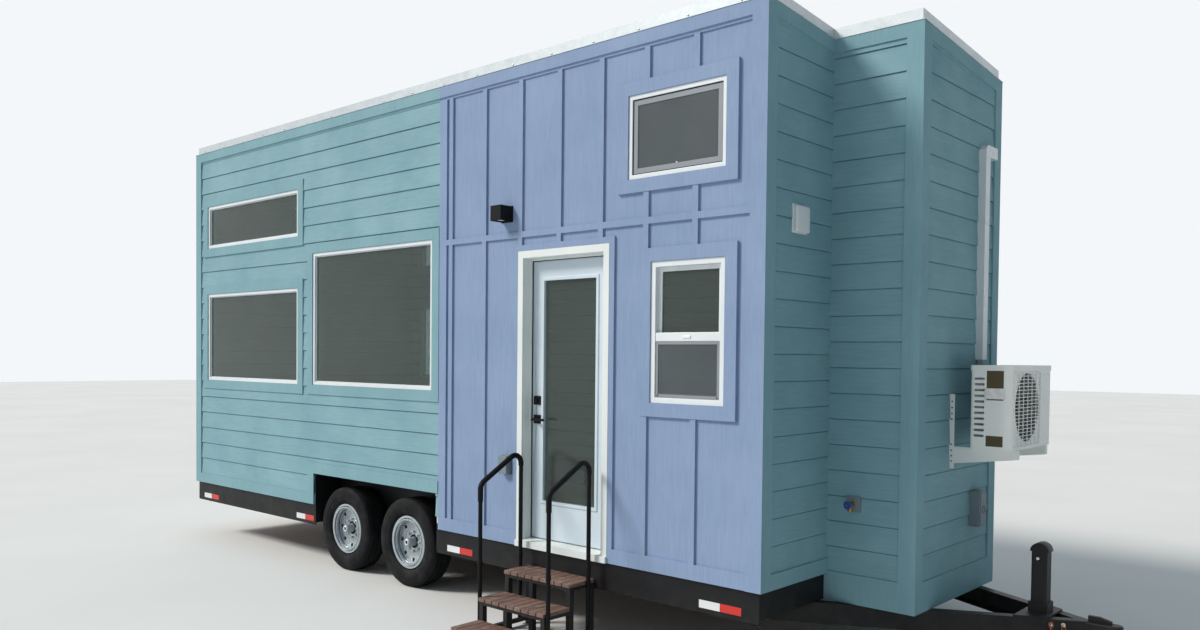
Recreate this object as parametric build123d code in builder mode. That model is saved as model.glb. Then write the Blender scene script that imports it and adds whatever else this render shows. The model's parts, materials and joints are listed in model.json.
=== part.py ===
from build123d import *
import math
import os
from collections import namedtuple

# Tiny house on a tandem-axle trailer, in millimetres, +Z up, standing on the floor at Z = 0.
# The tongue points to +X, the entry door is in the -Y wall, and the origin is at the
# middle of the whole object's footprint. Sizes "from the front" run back from the front wall.

# House body
body_length = 7130.0
body_width = 2850.0
wall = 115.0
floor_top = 592.0
deck_depth = 80.0
siding_bottom = 548.0
roof_high = 4136.0
roof_depth = 120.0
roof_fall = 0.0775

# Bump-out that stands on the tongue
bump_reach = 596.0
bump_width = 1260.0

# Trailer frame
frame_bottom = 375.0
rail_inset = 300.0
rail_width = 75.0
rail_web = 8.0
rail_flange = 11.0
cross_depth = 70.0
cross_width = 50.0
cross_count = 7
skirt_drop = 20.0
skirt_plate = 8.0

# Tongue and coupler
tongue_reach = 1620.0
tongue_apex = 1420.0
tongue_angle = 27.5
tongue_depth = 135.0
tongue_width = 70.0
tongue_tail = 700.0
tongue_web = 10.0
tongue_nose = 260.0
coupler_width = 88.0
coupler_height = 120.0
coupler_round = 12.0
ball_radius = 29.5
ball_depth = 30.0
ball_from_tip = 62.0
latch_width = 24.0
latch_length = 130.0
latch_height = 34.0
chain_radius = 9.0
chain_from_front = 1250.0
chain_span = 70.0
chain_drop = 150.0
chain_stand_off = 20.0
chain_below_top = 30.0
chain_bend = 20.0
eye_bolt_radius = 13.0

# Tongue jack
jack_from_front = 1150.0
jack_tube_size = 95.0
jack_tube_wall = 5.0
jack_tube_bottom = 200.0
jack_top = 760.0
jack_dome = 55.0
jack_corner = 12.0
jack_clearance = 0.5
jack_foot_size = 150.0
jack_foot_plate = 10.0
jack_leg_wall = 6.0
jack_leg_top = 515.0
jack_plate = 12.0
jack_plate_half = 90.0
jack_collar = 10.0
jack_collar_height = 60.0
crank_height = 722.0
crank_shaft_radius = 9.0
crank_stub = 26.0
crank_arm = 140.0
crank_arm_width = 26.0
crank_plate = 14.0
crank_grip_radius = 12.0
crank_grip_length = 90.0
crank_clear = 8.0

# Wheels and running gear
tyre_radius = 372.0
tyre_width = 222.0
tyre_inset = 14.0
sidewall_radius = 290.0
shoulder_radius = 364.0
tread_half = 84.0
bead_radius = 203.0
bead_half = 69.0
bead_fit = 3.0
rim_radius = 221.0
rim_width = 165.0
rim_plate = 8.0
rim_lip = 9.0
rim_taper = 4.0
disc_dish = 62.0
disc_flat = 126.0
disc_edge = 180.0
hub_radius = 62.0
hub_cap_radius = 34.0
hub_cap_reach = 53.0
drum_radius = 138.0
drum_depth = 75.0
backing_gap = 5.0
backing_plate = 5.0
lug_circle = 165.1
lug_count = 8
lug_radius = 11.0
lug_height = 18.0
hand_hole_count = 8
hand_hole_circle = 156.0
hand_hole_radius = 17.0
wheel_spacing = 905.0
wheels_from_front = 3925.0
axle_drop = 120.0
axle_tube = 76.0
arm_gap = 8.0
arm_thickness = 24.0
arm_half = 30.0
spindle_radius = 22.0
spindle_reach = 12.0
spring_seat = 2.0
spring_width = 60.0
spring_half = 345.0
spring_leaf = 9.0
spring_leaves = 3
leaf_step = 95.0
spring_camber = 22.0
eye_radius = 19.0
bolt_radius = 9.0
bolt_reach = 10.0
hanger_plate = 8.0
hanger_half = 42.0
running_gap = 0.3

# Wheel wells
well_length = 1785.0
well_from_front = 3930.0
well_top = 835.0
well_depth = 280.0
well_sheet = 4.0

# Doorway and door
door_from_front = 1645.0
door_width = 762.0
door_height = 2032.0
door_thickness = 44.0
door_gap = 7.0
jamb = 32.0
stop_depth = 15.0
stop_width = 12.0
stop_gap = 3.0
casing_reveal = 5.0
door_casing_width = 51.0
door_casing_proud = 20.0
threshold = 12.0
sill_proud = 36.0
glass_width = 508.0
glass_sill_in_door = 280.0
glass_top_rail = 152.0
glass_moulding = 25.0
moulding_proud = 8.0
lock_backset = 62.0
lever_height = 870.0
deadbolt_above = 138.0
rose_size = 65.0
rose_depth = 12.0
lever_shaft_radius = 10.7
lever_out = 48.0
lever_reach = 108.0
lever_depth = 16.0
lever_width = 18.0
thumb_turn = 22.0
hinge_radius = 7.0
hinge_pin_radius = 3.2
hinge_leaf = 3.0
hinge_height = 100.0
hinge_knuckle = 33.0

# Windows
frame_face = 46.0
frame_depth = 78.0
frame_proud = 14.0
pane_thickness = 20.0
pane_setback = 22.0
meeting_rail = 62.0
meeting_height = 400.0
casing_board = 89.0
casing_proud = 22.0

# Trim boards
corner_board = 89.0
board_proud = 24.0
frieze_height = 88.0
bead_height = 20.0
bead_proud = 13.0
base_height = 100.0
bump_base_height = 191.0
batten_width = 45.0
batten_proud = 18.0
batten_spacing = 395.0
batten_first = 495.0
belt_height = 2830.0
panel_from_front = 3005.0
flashing_height = 74.0
flashing_sheet = 3.0
flashing_lap = 60.0
flashing_kick = 28.0

# Entry steps
tread_width = 640.0
tread_depth = 252.0
tread_going = 240.0
tread_board = 65.0
tread_boards = 9
tread_thickness = 25.0
top_tread = 420.0
tread_rise = 155.0
tread_count = 3
leg = 38.0
leg_setback = 12.0
inner_leg_at = 0.38
bearer = 24.0
runner_low = 30.0
rail_tube = 15.0
rail_grip = 19.0
grip_low_front = 930.0
grip_low_back = 1150.0
rail_front_bend = 1050.0
rail_back_bend = 1275.0
rail_bend_radius = 62.0
rail_back_y = 78.0
rail_front_y = 462.0
rail_foot = 30.0

# Cooling unit on the bump-out's end
ac_from_bump_edge = 445.0
ac_width = 720.0
ac_depth = 265.0
ac_height = 530.0
ac_bottom = 1385.0
ac_stand_off = 160.0
ac_sheet = 6.0
ac_corner = 20.0
ac_lid = 4.0
ac_lid_height = 34.0
slot_count = 11
slot_length = 62.0
slot_height = 15.0
slot_spacing = 36.0
slot_from_back = 26.0
fan_radius = 205.0
fan_from_side = 255.0
fan_hub_radius = 42.0
fan_shaft_radius = 6.0
fan_blades = 3
fan_depth = 50.0
fan_at = 0.72
blade_pitch = 30.0
blade_chord = 120.0
blade_thickness = 8.0
blade_clear = 12.0
motor_radius = 48.0
motor_depth = 90.0
motor_strut = 40.0
grille_margin = 20.0
grille_rim = 10.0
grille_bar = 4.0
grille_pitch = 60.0
grille_depth = 6.0
bracket_width = 34.0
bracket_bar = 22.0
bracket_plate = 4.0
bracket_arm = 440.0
bracket_above = 340.0
bracket_below = 140.0
bracket_root = 110.0
bracket_tip = 58.0
near_bracket = 70.0
far_bracket = 110.0

# Line cover beside the cooling unit
duct_width = 78.0
duct_depth = 62.0
duct_from_bump_edge = 945.0
duct_bottom = 1950.0
duct_top = 3400.0
duct_elbow = 170.0
duct_round = 30.0
pipe_radius = 22.0
pipe_bottom = 1560.0

# Small fittings
light_size = 112.0
light_plate = 120.0
light_plate_depth = 12.0
light_shade = 6.0
light_recess = 24.0
light_from_front = 2225.0
light_height = 2990.0
bib_from_front = 200.0
bib_height = 1020.0
bib_block = 100.0
bib_block_depth = 24.0
bib_body_radius = 12.0
bib_body_reach = 60.0
bib_stem_radius = 5.0
bib_stem_end = 10.0
bib_neck_radius = 10.0
bib_outlet_reach = 40.0
bib_outlet_drop = 46.0
bib_thread_radius = 13.4
bib_thread_length = 18.0
bib_handle_radius = 27.0
bib_handle_depth = 8.0
bib_handle_reach = 74.0
vent_size = 200.0
vent_depth = 80.0
vent_lip = 40.0
vent_brow = 14.0
vent_from_side = 300.0
vent_bottom = 2710.0
disconnect_width = 110.0
disconnect_height = 240.0
disconnect_depth = 80.0
disconnect_from_bump_edge = 905.0
disconnect_bottom = 820.0
box_lip = 10.0
box_taper = 6.0
outlet_width = 100.0
outlet_height = 145.0
outlet_depth = 58.0
outlet_from_front = 2206.0
outlet_bottom = 1062.0

# Main planes
steps_reach = (tread_count - 1) * tread_going + tread_depth
overall_length = tongue_reach + body_length + flashing_kick
overall_width = steps_reach + body_width + flashing_kick
x_tip = overall_length / 2
x_front = x_tip - tongue_reach
x_rear = x_front - body_length
y_door = -overall_width / 2 + steps_reach
y_far = y_door + body_width
y_mid = (y_door + y_far) / 2
x_bump = x_front + bump_reach
y_bump_near = y_mid - bump_width / 2
y_bump_far = y_mid + bump_width / 2
deck_bottom = floor_top - deck_depth
skirt_bottom = frame_bottom - skirt_drop
well_front = x_front - well_from_front + well_length / 2
well_rear = well_front - well_length
panel_edge = x_front - panel_from_front
door_x = x_front - door_from_front
slab_bottom = floor_top + threshold + door_gap
slab_top = slab_bottom + door_height
opening_half = door_width / 2 + door_gap
rough_half = opening_half + jamb
head_under = slab_top + door_gap
rough_top = head_under + jamb
slab_front = y_door + wall - door_thickness
slab_back = y_door + wall
glass_height = door_height - glass_sill_in_door - glass_top_rail

Window = namedtuple("Window", "from_front width sill height")
upper_rear = Window(5107.0, 1788.0, 3045.0, 440.0)
lower_rear = Window(5107.0, 1788.0, 1653.0, 907.0)
picture = Window(panel_from_front + casing_board, 1759.0, 1656.0, 1212.0)
upper_front = Window(268.0, 776.0, 3108.0, 548.0)
lower_front = Window(264.0, 577.0, 1648.0, 913.0)
rear_window = Window((body_width - upper_front.width) / 2, upper_front.width, upper_front.sill,
                     upper_front.height)
door_side_windows = (upper_rear, lower_rear, picture, upper_front, lower_front)
far_side_windows = (upper_rear, lower_rear, upper_front._replace(sill=upper_rear.sill), lower_front)

C, LOW, HIGH = Align.CENTER, Align.MIN, Align.MAX
os.makedirs("parts", exist_ok=True)


def save(builder, name):
    """Label a finished piece and write it as its own STEP file."""
    builder.part.label = name
    export_step(builder.part, f"parts/{name}.step")


def side_face(y):
    """A plane parallel to the door wall, with X and Z as its own axes and facing -Y."""
    return Plane.XZ.offset(-y)


def end_face(x):
    """A plane parallel to the front wall, with Y and Z as its own axes and facing +X."""
    return Plane.YZ.offset(x)


def along_y(x, y, z):
    """Where a round piece whose axis runs along Y is centred."""
    return Location((x, y, z), (90, 0, 0))


def along_x(x, y, z):
    """Where a round piece whose axis runs along X is centred."""
    return Location((x, y, z), (0, 90, 0))


def roof_height(y, below=0.0):
    """Height of the roof's top plane, or of a plane below it, at a place across the house."""
    return roof_high - below - roof_fall * (y - y_door)


def roof_plane(below=0.0):
    """The roof's top plane, or a plane parallel to it and lower."""
    return Plane(origin=(0, y_door, roof_high - below), x_dir=(1, 0, 0), z_dir=(0, roof_fall, 1))


def block(x_range, y_range, z_range, mode=Mode.ADD):
    """A straight-sided block between two corners, added to the part being built."""
    (xa, xb), (ya, yb), (za, zb) = x_range, y_range, z_range
    with Locations(((xa + xb) / 2, (ya + yb) / 2, (za + zb) / 2)):
        Box(abs(xb - xa), abs(yb - ya), abs(zb - za), mode=mode)


def about(centre, half):
    """The range from one side of a centre to the other."""
    return centre - half, centre + half


def middle(window, end_wall=False):
    """Centre of a window in the sketch of its wall."""
    across = y_door + window.from_front + window.width / 2 if end_wall else \
        x_front - window.from_front - window.width / 2
    return across, window.sill + window.height / 2


def window_areas(windows, grow=0.0, mode=Mode.ADD, end_wall=False):
    """The windows' rectangles, grown by a border or shrunk if it is negative, in the open sketch."""
    for window in windows:
        with Locations(middle(window, end_wall)):
            Rectangle(window.width + 2 * grow, window.height + 2 * grow, mode=mode)


def long_wall_outline(x_from, x_to, z_from, windows=(), well=False):
    """Outline of a side wall in the open sketch, with its windows and wheel well cut out."""
    with Locations(((x_from + x_to) / 2, z_from)):
        Rectangle(abs(x_to - x_from), roof_high - z_from, align=(C, LOW))
    window_areas(windows, mode=Mode.SUBTRACT)
    if well:
        with Locations(((well_front + well_rear) / 2, z_from)):
            Rectangle(well_length, well_top - z_from, align=(C, LOW), mode=Mode.SUBTRACT)


def end_wall_outline(y_from, y_to, z_from):
    """Outline of an end wall in the open sketch, its top following the underside of the roof."""
    Polygon((y_from, z_from), (y_to, z_from), (y_to, roof_height(y_to, roof_depth)),
            (y_from, roof_height(y_from, roof_depth)), align=None)


def house_outline():
    """Plan of the house body and its bump-out, in the open sketch."""
    with Locations(((x_rear + x_front) / 2, y_mid)):
        Rectangle(body_length, body_width)
    with Locations((x_front + bump_reach / 2, y_mid)):
        Rectangle(bump_reach, bump_width)


# Walls
with BuildPart() as wall_door_rear:
    with BuildSketch(side_face(y_door)):
        long_wall_outline(x_rear, door_x - rough_half, floor_top, (upper_rear, lower_rear, picture),
                          well=True)
    extrude(amount=-wall)
    split(bisect_by=roof_plane(roof_depth), keep=Keep.BOTTOM)
save(wall_door_rear, "wall_door_rear")

with BuildPart() as wall_door_front:
    with BuildSketch(side_face(y_door)):
        long_wall_outline(door_x + rough_half, x_front, floor_top, (upper_front, lower_front))
    extrude(amount=-wall)
    split(bisect_by=roof_plane(roof_depth), keep=Keep.BOTTOM)
save(wall_door_front, "wall_door_front")

with BuildPart() as wall_door_head:
    with BuildSketch(side_face(y_door)):
        long_wall_outline(door_x - rough_half, door_x + rough_half, rough_top)
    extrude(amount=-wall)
    split(bisect_by=roof_plane(roof_depth), keep=Keep.BOTTOM)
save(wall_door_head, "wall_door_head")

with BuildPart() as wall_far:
    with BuildSketch(side_face(y_far - wall)):
        long_wall_outline(x_rear, x_front, floor_top, far_side_windows, well=True)
    extrude(amount=-wall)
    split(bisect_by=roof_plane(roof_depth), keep=Keep.BOTTOM)
save(wall_far, "wall_far")

with BuildPart() as wall_rear:
    with BuildSketch(end_face(x_rear)):
        end_wall_outline(y_door + wall, y_far - wall, floor_top)
        window_areas((rear_window,), mode=Mode.SUBTRACT, end_wall=True)
    extrude(amount=wall)
save(wall_rear, "wall_rear")

with BuildPart() as wall_front:
    with BuildSketch(end_face(x_front - wall)):
        end_wall_outline(y_door + wall, y_bump_near + wall, floor_top)
        end_wall_outline(y_bump_far - wall, y_far - wall, floor_top)
    extrude(amount=wall)
save(wall_front, "wall_front")

with BuildPart() as bumpout_side_walls:
    with BuildSketch(end_face(x_front)):
        end_wall_outline(y_bump_near, y_bump_near + wall, floor_top)
        end_wall_outline(y_bump_far - wall, y_bump_far, floor_top)
    extrude(amount=bump_reach - wall)
save(bumpout_side_walls, "bumpout_side_walls")

with BuildPart() as bumpout_end_wall:
    with BuildSketch(end_face(x_bump - wall)):
        end_wall_outline(y_bump_near, y_bump_far, floor_top)
    extrude(amount=wall)
save(bumpout_end_wall, "bumpout_end_wall")

# Floor, roof and the flashing folded over the roof's edge
with BuildPart() as floor:
    block((x_rear + skirt_plate, x_front - skirt_plate), (y_door + skirt_plate, y_far - skirt_plate),
          (deck_bottom, floor_top))
    block((x_front - skirt_plate, x_front), (y_bump_near, y_bump_far), (siding_bottom, floor_top))
    for y_outer, inward in ((y_door, 1), (y_far, -1)):
        block((well_rear, well_front), (y_outer, y_outer + inward * well_depth), (deck_bottom, floor_top),
              mode=Mode.SUBTRACT)
save(floor, "floor")

with BuildPart() as bumpout_floor:
    block((x_front, x_bump), (y_bump_near, y_bump_far), (frame_bottom, floor_top))
save(bumpout_floor, "bumpout_floor")

with BuildPart() as roof:
    with BuildSketch(Plane.XY.offset(roof_high)):
        house_outline()
    extrude(amount=-body_width)
    split(bisect_by=roof_plane(), keep=Keep.BOTTOM)
    split(bisect_by=roof_plane(roof_depth), keep=Keep.TOP)
save(roof, "roof")

with BuildSketch(Plane.XY.offset(roof_high + 2 * flashing_sheet)) as roof_plan:
    house_outline()
sheet_plan = offset(roof_plan.sketch, amount=flashing_sheet, kind=Kind.INTERSECTION, mode=Mode.PRIVATE)
kick_plan = offset(roof_plan.sketch, amount=flashing_kick, kind=Kind.INTERSECTION, mode=Mode.PRIVATE)
lap_plan = offset(roof_plan.sketch, amount=-flashing_lap, kind=Kind.INTERSECTION, mode=Mode.PRIVATE)
with BuildPart() as under_flashing:
    extrude(roof_plan.sketch, amount=-body_width)
    split(bisect_by=roof_plane(), keep=Keep.BOTTOM)
    extrude(lap_plan, amount=-body_width)
with BuildPart() as above_kick:
    extrude(kick_plan, amount=-body_width)
    extrude(sheet_plan, amount=-body_width, mode=Mode.SUBTRACT)
    split(bisect_by=roof_plane(flashing_height), keep=Keep.TOP)
with BuildPart() as roof_flashing:
    extrude(kick_plan, amount=-body_width)
    split(bisect_by=roof_plane(-flashing_sheet), keep=Keep.BOTTOM)
    split(bisect_by=roof_plane(flashing_height + flashing_sheet), keep=Keep.TOP)
    add(under_flashing.part, mode=Mode.SUBTRACT)
    add(above_kick.part, mode=Mode.SUBTRACT)
save(roof_flashing, "roof_flashing")

# Trim boards: frieze and bead under the flashing, corners, base and wheel-well surround
frieze_top = flashing_height + flashing_sheet
frieze_bottom = frieze_top + frieze_height
base_top = siding_bottom + base_height
with BuildSketch(Plane.XY.offset(roof_high)) as house_plan:
    house_outline()
board_plan = offset(house_plan.sketch, amount=board_proud, kind=Kind.INTERSECTION, mode=Mode.PRIVATE)
bead_plan = offset(house_plan.sketch, amount=bead_proud, kind=Kind.INTERSECTION, mode=Mode.PRIVATE)

with BuildPart() as frieze:
    extrude(board_plan, amount=-body_width)
    split(bisect_by=roof_plane(frieze_top), keep=Keep.BOTTOM)
    split(bisect_by=roof_plane(frieze_bottom), keep=Keep.TOP)
with BuildPart() as bead:
    extrude(bead_plan, amount=-body_width)
    split(bisect_by=roof_plane(frieze_bottom), keep=Keep.BOTTOM)
    split(bisect_by=roof_plane(frieze_bottom + bead_height), keep=Keep.TOP)

with BuildPart() as corner_boards:
    for xs, ys, z_from in (((x_rear, x_front), (y_door, y_far), siding_bottom),
                           ((x_bump,), (y_bump_near, y_bump_far), frame_bottom)):
        with Locations(*[(x, y, z_from) for x in xs for y in ys]):
            Box(2 * corner_board, 2 * corner_board, roof_high - z_from, align=(C, C, LOW))
    extrude(board_plan, amount=-roof_high, mode=Mode.INTERSECT)
    split(bisect_by=roof_plane(frieze_top), keep=Keep.BOTTOM)

with BuildPart() as trim_boards:
    add(frieze.part)
    add(bead.part)
    add(corner_boards.part)
    for y_face, outward in ((y_door, -1), (y_far, 1)):
        face = (y_face, y_face + outward * board_proud)
        low_rear = well_rear - base_height
        block((x_rear + corner_board, low_rear), face, (siding_bottom, base_top))
        block((low_rear, well_rear), face, (siding_bottom, well_top + base_height))
        block((well_rear, max(well_front, panel_edge)), face, (well_top, well_top + base_height))
    far_face = (y_far, y_far + board_proud)
    block((well_front, well_front + base_height), far_face, (siding_bottom, well_top + base_height))
    block((well_front + base_height, x_front - corner_board), far_face, (siding_bottom, base_top))
    block((x_rear - board_proud, x_rear), about(y_mid, body_width / 2 - corner_board),
          (siding_bottom, base_top))
    for y_range in ((y_door + corner_board, y_bump_near), (y_bump_far, y_far - corner_board)):
        block((x_front, x_front + board_proud), y_range, (siding_bottom, base_top))
    bump_base = (frame_bottom, frame_bottom + bump_base_height)
    block((x_front, x_bump + board_proud), (y_bump_near - board_proud, y_bump_far + board_proud), bump_base)
    extrude(house_plan.sketch, amount=-roof_high, mode=Mode.SUBTRACT)
save(trim_boards, "trim_boards")

# Battens, belt, base board and door surround of the panelled front part of the door wall
door_casing_half = opening_half + casing_reveal + door_casing_width
door_casing_top = head_under + casing_reveal + door_casing_width
panel_length = x_front - corner_board - panel_edge
batten_count = int((panel_length - batten_first) / batten_spacing) + 1
with BuildPart() as battens:
    with BuildSketch(side_face(y_door)):
        with Locations((panel_edge + panel_length / 2, siding_bottom)):
            Rectangle(panel_length, base_height, align=(C, LOW))
        with Locations((panel_edge + panel_length / 2, belt_height)):
            Rectangle(panel_length, batten_width)
        with Locations((panel_edge, siding_bottom)):
            Rectangle(corner_board, roof_high - siding_bottom, align=(LOW, LOW))
        for n in range(batten_count):
            with Locations((x_front - batten_first - n * batten_spacing, siding_bottom)):
                Rectangle(batten_width, roof_high - siding_bottom, align=(C, LOW))
        with Locations((door_x, siding_bottom)):
            Rectangle(2 * (door_casing_half + batten_width), door_casing_top + batten_width - siding_bottom,
                      align=(C, LOW))
            Rectangle(2 * door_casing_half, door_casing_top - siding_bottom, align=(C, LOW),
                      mode=Mode.SUBTRACT)
        window_areas((upper_front, lower_front), casing_board, mode=Mode.SUBTRACT)
    extrude(amount=batten_proud)
    split(bisect_by=roof_plane(frieze_bottom + bead_height), keep=Keep.BOTTOM)
save(battens, "battens")

# Windows: casing boards, frames with the sash window's meeting rail, and panes
side_windows = ((y_door, 1, door_side_windows), (y_far, -1, far_side_windows))
with BuildPart() as window_casings:
    for y_face, outward, windows in side_windows:
        with BuildSketch(side_face(y_face)):
            window_areas(windows, casing_board)
            window_areas(windows, mode=Mode.SUBTRACT)
        extrude(amount=outward * casing_proud)
    with BuildSketch(end_face(x_rear)):
        window_areas((rear_window,), casing_board, end_wall=True)
        window_areas((rear_window,), mode=Mode.SUBTRACT, end_wall=True)
    extrude(amount=-casing_proud)
save(window_casings, "window_casings")

with BuildPart() as window_frames:
    for y_face, outward, windows in side_windows:
        with BuildSketch(side_face(y_face - outward * frame_proud)):
            window_areas(windows)
            window_areas(windows, -frame_face, mode=Mode.SUBTRACT)
            with Locations((middle(lower_front)[0], lower_front.sill + meeting_height)):
                Rectangle(lower_front.width - 2 * frame_face, meeting_rail, align=(C, LOW))
        extrude(amount=-outward * frame_depth)
    with BuildSketch(end_face(x_rear - frame_proud)):
        window_areas((rear_window,), end_wall=True)
        window_areas((rear_window,), -frame_face, mode=Mode.SUBTRACT, end_wall=True)
    extrude(amount=frame_depth)
save(window_frames, "window_frames")

with BuildPart() as window_panes:
    for y_face, outward, windows in side_windows:
        with BuildSketch(side_face(y_face + outward * pane_setback)):
            window_areas(windows, -frame_face)
            with Locations((middle(lower_front)[0], lower_front.sill + meeting_height)):
                Rectangle(lower_front.width, meeting_rail, align=(C, LOW), mode=Mode.SUBTRACT)
        extrude(amount=-outward * pane_thickness)
    with BuildSketch(end_face(x_rear + pane_setback)):
        window_areas((rear_window,), -frame_face, end_wall=True)
    extrude(amount=pane_thickness)
save(window_panes, "window_panes")

# Door frame: jambs, stop, outside casing, sill and threshold, with its share of the hinges
hinge_x = door_x + door_width / 2 + door_gap / 2
hinge_y = slab_back + hinge_radius + 1
hinge_heights = (slab_bottom + 180, slab_bottom + door_height / 2 + 60, slab_top - 180)
knuckle_ends = ((-hinge_height / 2, hinge_knuckle - hinge_height / 2),
                (hinge_height / 2 - hinge_knuckle, hinge_height / 2))


def doorway_ring(half_outer, top_outer, half_inner, top_inner, z_from):
    """An upside-down U round the doorway, in the open sketch."""
    with Locations((door_x, z_from)):
        Rectangle(2 * half_outer, top_outer - z_from, align=(C, LOW))
        Rectangle(2 * half_inner, top_inner - z_from, align=(C, LOW), mode=Mode.SUBTRACT)


with BuildPart() as door_frame:
    with BuildSketch(side_face(y_door)):
        doorway_ring(rough_half, rough_top, opening_half, head_under, floor_top)
    extrude(amount=-wall)
    with BuildSketch(side_face(slab_front - stop_gap - stop_depth)):
        doorway_ring(opening_half, head_under, opening_half - stop_width, head_under - stop_width, floor_top)
    extrude(amount=-stop_depth)
    with BuildSketch(side_face(y_door)):
        doorway_ring(door_casing_half, door_casing_top, door_casing_half - door_casing_width,
                     door_casing_top - door_casing_width, siding_bottom)
    extrude(amount=door_casing_proud)
    block(about(door_x, door_casing_half), (y_door - sill_proud, y_door + skirt_plate),
          (siding_bottom, floor_top))
    threshold_top = floor_top + threshold
    with BuildSketch(end_face(door_x - opening_half)):
        Polygon((y_door - sill_proud, floor_top), (slab_back, floor_top), (slab_back, threshold_top),
                (slab_front, threshold_top), (y_door - sill_proud, floor_top + threshold / 3), align=None)
    extrude(amount=2 * opening_half)
    for z in hinge_heights:
        leaf_face = (door_x + opening_half - hinge_leaf, door_x + opening_half)
        block(leaf_face, (slab_front, slab_back), (z - hinge_height / 2, z + hinge_height / 2))
        with Locations((hinge_x, hinge_y, z)):
            Cylinder(hinge_pin_radius, hinge_height)
        for low, high in knuckle_ends:
            block(leaf_face, (slab_back, hinge_y), (z + low, z + high))
            with Locations((hinge_x, hinge_y, z + low)):
                Cylinder(hinge_radius, high - low, align=(C, C, LOW))
save(door_frame, "door_frame")

# Door: glazed slab, glass, lock with the slab's hinge leaves, and the lever
lock_x = door_x - door_width / 2 + lock_backset
lever_z = slab_bottom + lever_height
deadbolt_z = lever_z + deadbolt_above
glass_z = slab_bottom + glass_sill_in_door + glass_height / 2
lever_bore = lever_shaft_radius + running_gap
with BuildPart() as door_slab:
    block(about(door_x, door_width / 2), (slab_front, slab_back), (slab_bottom, slab_top))
    for y_face, outward in ((slab_front, 1), (slab_back, -1)):
        with BuildSketch(side_face(y_face)):
            with Locations((door_x, glass_z)):
                Rectangle(glass_width + 2 * glass_moulding, glass_height + 2 * glass_moulding)
        extrude(amount=outward * moulding_proud, taper=20)
    with BuildSketch(side_face(slab_front - moulding_proud)):
        with Locations((door_x, glass_z)):
            Rectangle(glass_width, glass_height)
    extrude(amount=-(door_thickness + 2 * moulding_proud), mode=Mode.SUBTRACT)
    with Locations(along_y(lock_x, (slab_front + slab_back) / 2, lever_z)):
        Cylinder(lever_bore, door_thickness, mode=Mode.SUBTRACT)
save(door_slab, "door_slab")

with BuildPart() as door_glass:
    with BuildSketch(side_face(slab_front + (door_thickness - pane_thickness) / 2)):
        with Locations((door_x, glass_z)):
            Rectangle(glass_width, glass_height)
    extrude(amount=-pane_thickness)
save(door_glass, "door_glass")

with BuildPart() as door_hardware:
    for y_face, outward in ((slab_front, 1), (slab_back, -1)):
        with BuildSketch(side_face(y_face)):
            with Locations((lock_x, lever_z), (lock_x, deadbolt_z)):
                Rectangle(rose_size, rose_size)
        extrude(amount=outward * rose_depth, taper=8)
    with Locations(along_y(lock_x, (slab_front + slab_back) / 2, lever_z)):
        Cylinder(lever_bore, door_thickness + 4 * rose_depth, mode=Mode.SUBTRACT)
    with Locations(along_y(lock_x, slab_front - rose_depth, deadbolt_z)):
        Cylinder(rose_size / 5, rose_depth, align=(C, C, LOW))
    with BuildSketch(side_face(slab_back + rose_depth)):
        with Locations((lock_x, deadbolt_z)):
            SlotOverall(thumb_turn * 2, rose_depth, rotation=90)
    extrude(amount=-thumb_turn)
    for z in hinge_heights:
        leaf_face = (door_x + door_width / 2, door_x + door_width / 2 + hinge_leaf)
        block(leaf_face, (slab_front, slab_back), (z - hinge_height / 2, z + hinge_height / 2))
        knuckle_half = hinge_height / 2 - hinge_knuckle - running_gap
        block(leaf_face, (slab_back, hinge_y), (z - knuckle_half, z + knuckle_half))
        with Locations((hinge_x, hinge_y, z)):
            Cylinder(hinge_radius, 2 * knuckle_half)
            Cylinder(hinge_pin_radius + running_gap, hinge_height, mode=Mode.SUBTRACT)
save(door_hardware, "door_hardware")

lever_span = door_thickness + 2 * (rose_depth + lever_out)
with BuildPart() as door_lever:
    with Locations(along_y(lock_x, (slab_front + slab_back) / 2, lever_z)):
        Cylinder(lever_shaft_radius, lever_span)
    for y_outer, inward in ((slab_front - rose_depth - lever_out, 1),
                            (slab_back + rose_depth + lever_out, -1)):
        with BuildSketch(side_face(y_outer)):
            with Locations((lock_x + lever_reach / 2, lever_z)):
                SlotCenterToCenter(lever_reach - lever_width / 2, lever_width)
        extrude(amount=-inward * lever_depth)
save(door_lever, "door_lever")

# Trailer frame: I-beam rails, crossmembers, skirts and wheel wells
rail_height = deck_bottom - frame_bottom
y_rails = (y_door + rail_inset + rail_width / 2, y_far - rail_inset - rail_width / 2)
with BuildPart() as chassis_rails:
    with BuildSketch(end_face(x_rear + skirt_plate)):
        for y in y_rails:
            with Locations((y, frame_bottom + rail_height / 2)):
                Rectangle(rail_width, rail_height)
                with GridLocations((rail_width + rail_web) / 2, 0, 2, 1):
                    Rectangle((rail_width - rail_web) / 2, rail_height - 2 * rail_flange, mode=Mode.SUBTRACT)
    extrude(amount=body_length - 2 * skirt_plate)
save(chassis_rails, "chassis_rails")

cross_pitch = (body_length - 2 * skirt_plate - cross_width) / (cross_count - 1)
cross_levels = (deck_bottom - cross_depth, deck_bottom)
with BuildPart() as crossmembers:
    for n in range(cross_count):
        x_low = x_rear + skirt_plate + n * cross_pitch
        x_range = (x_low, x_low + cross_width)
        block(x_range, (y_rails[0] + rail_width / 2, y_rails[1] - rail_width / 2), cross_levels)
        if x_range[1] < well_rear or x_range[0] > well_front:
            block(x_range, (y_door + skirt_plate, y_rails[0] - rail_width / 2), cross_levels)
            block(x_range, (y_rails[1] + rail_width / 2, y_far - skirt_plate), cross_levels)
save(crossmembers, "crossmembers")

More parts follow.
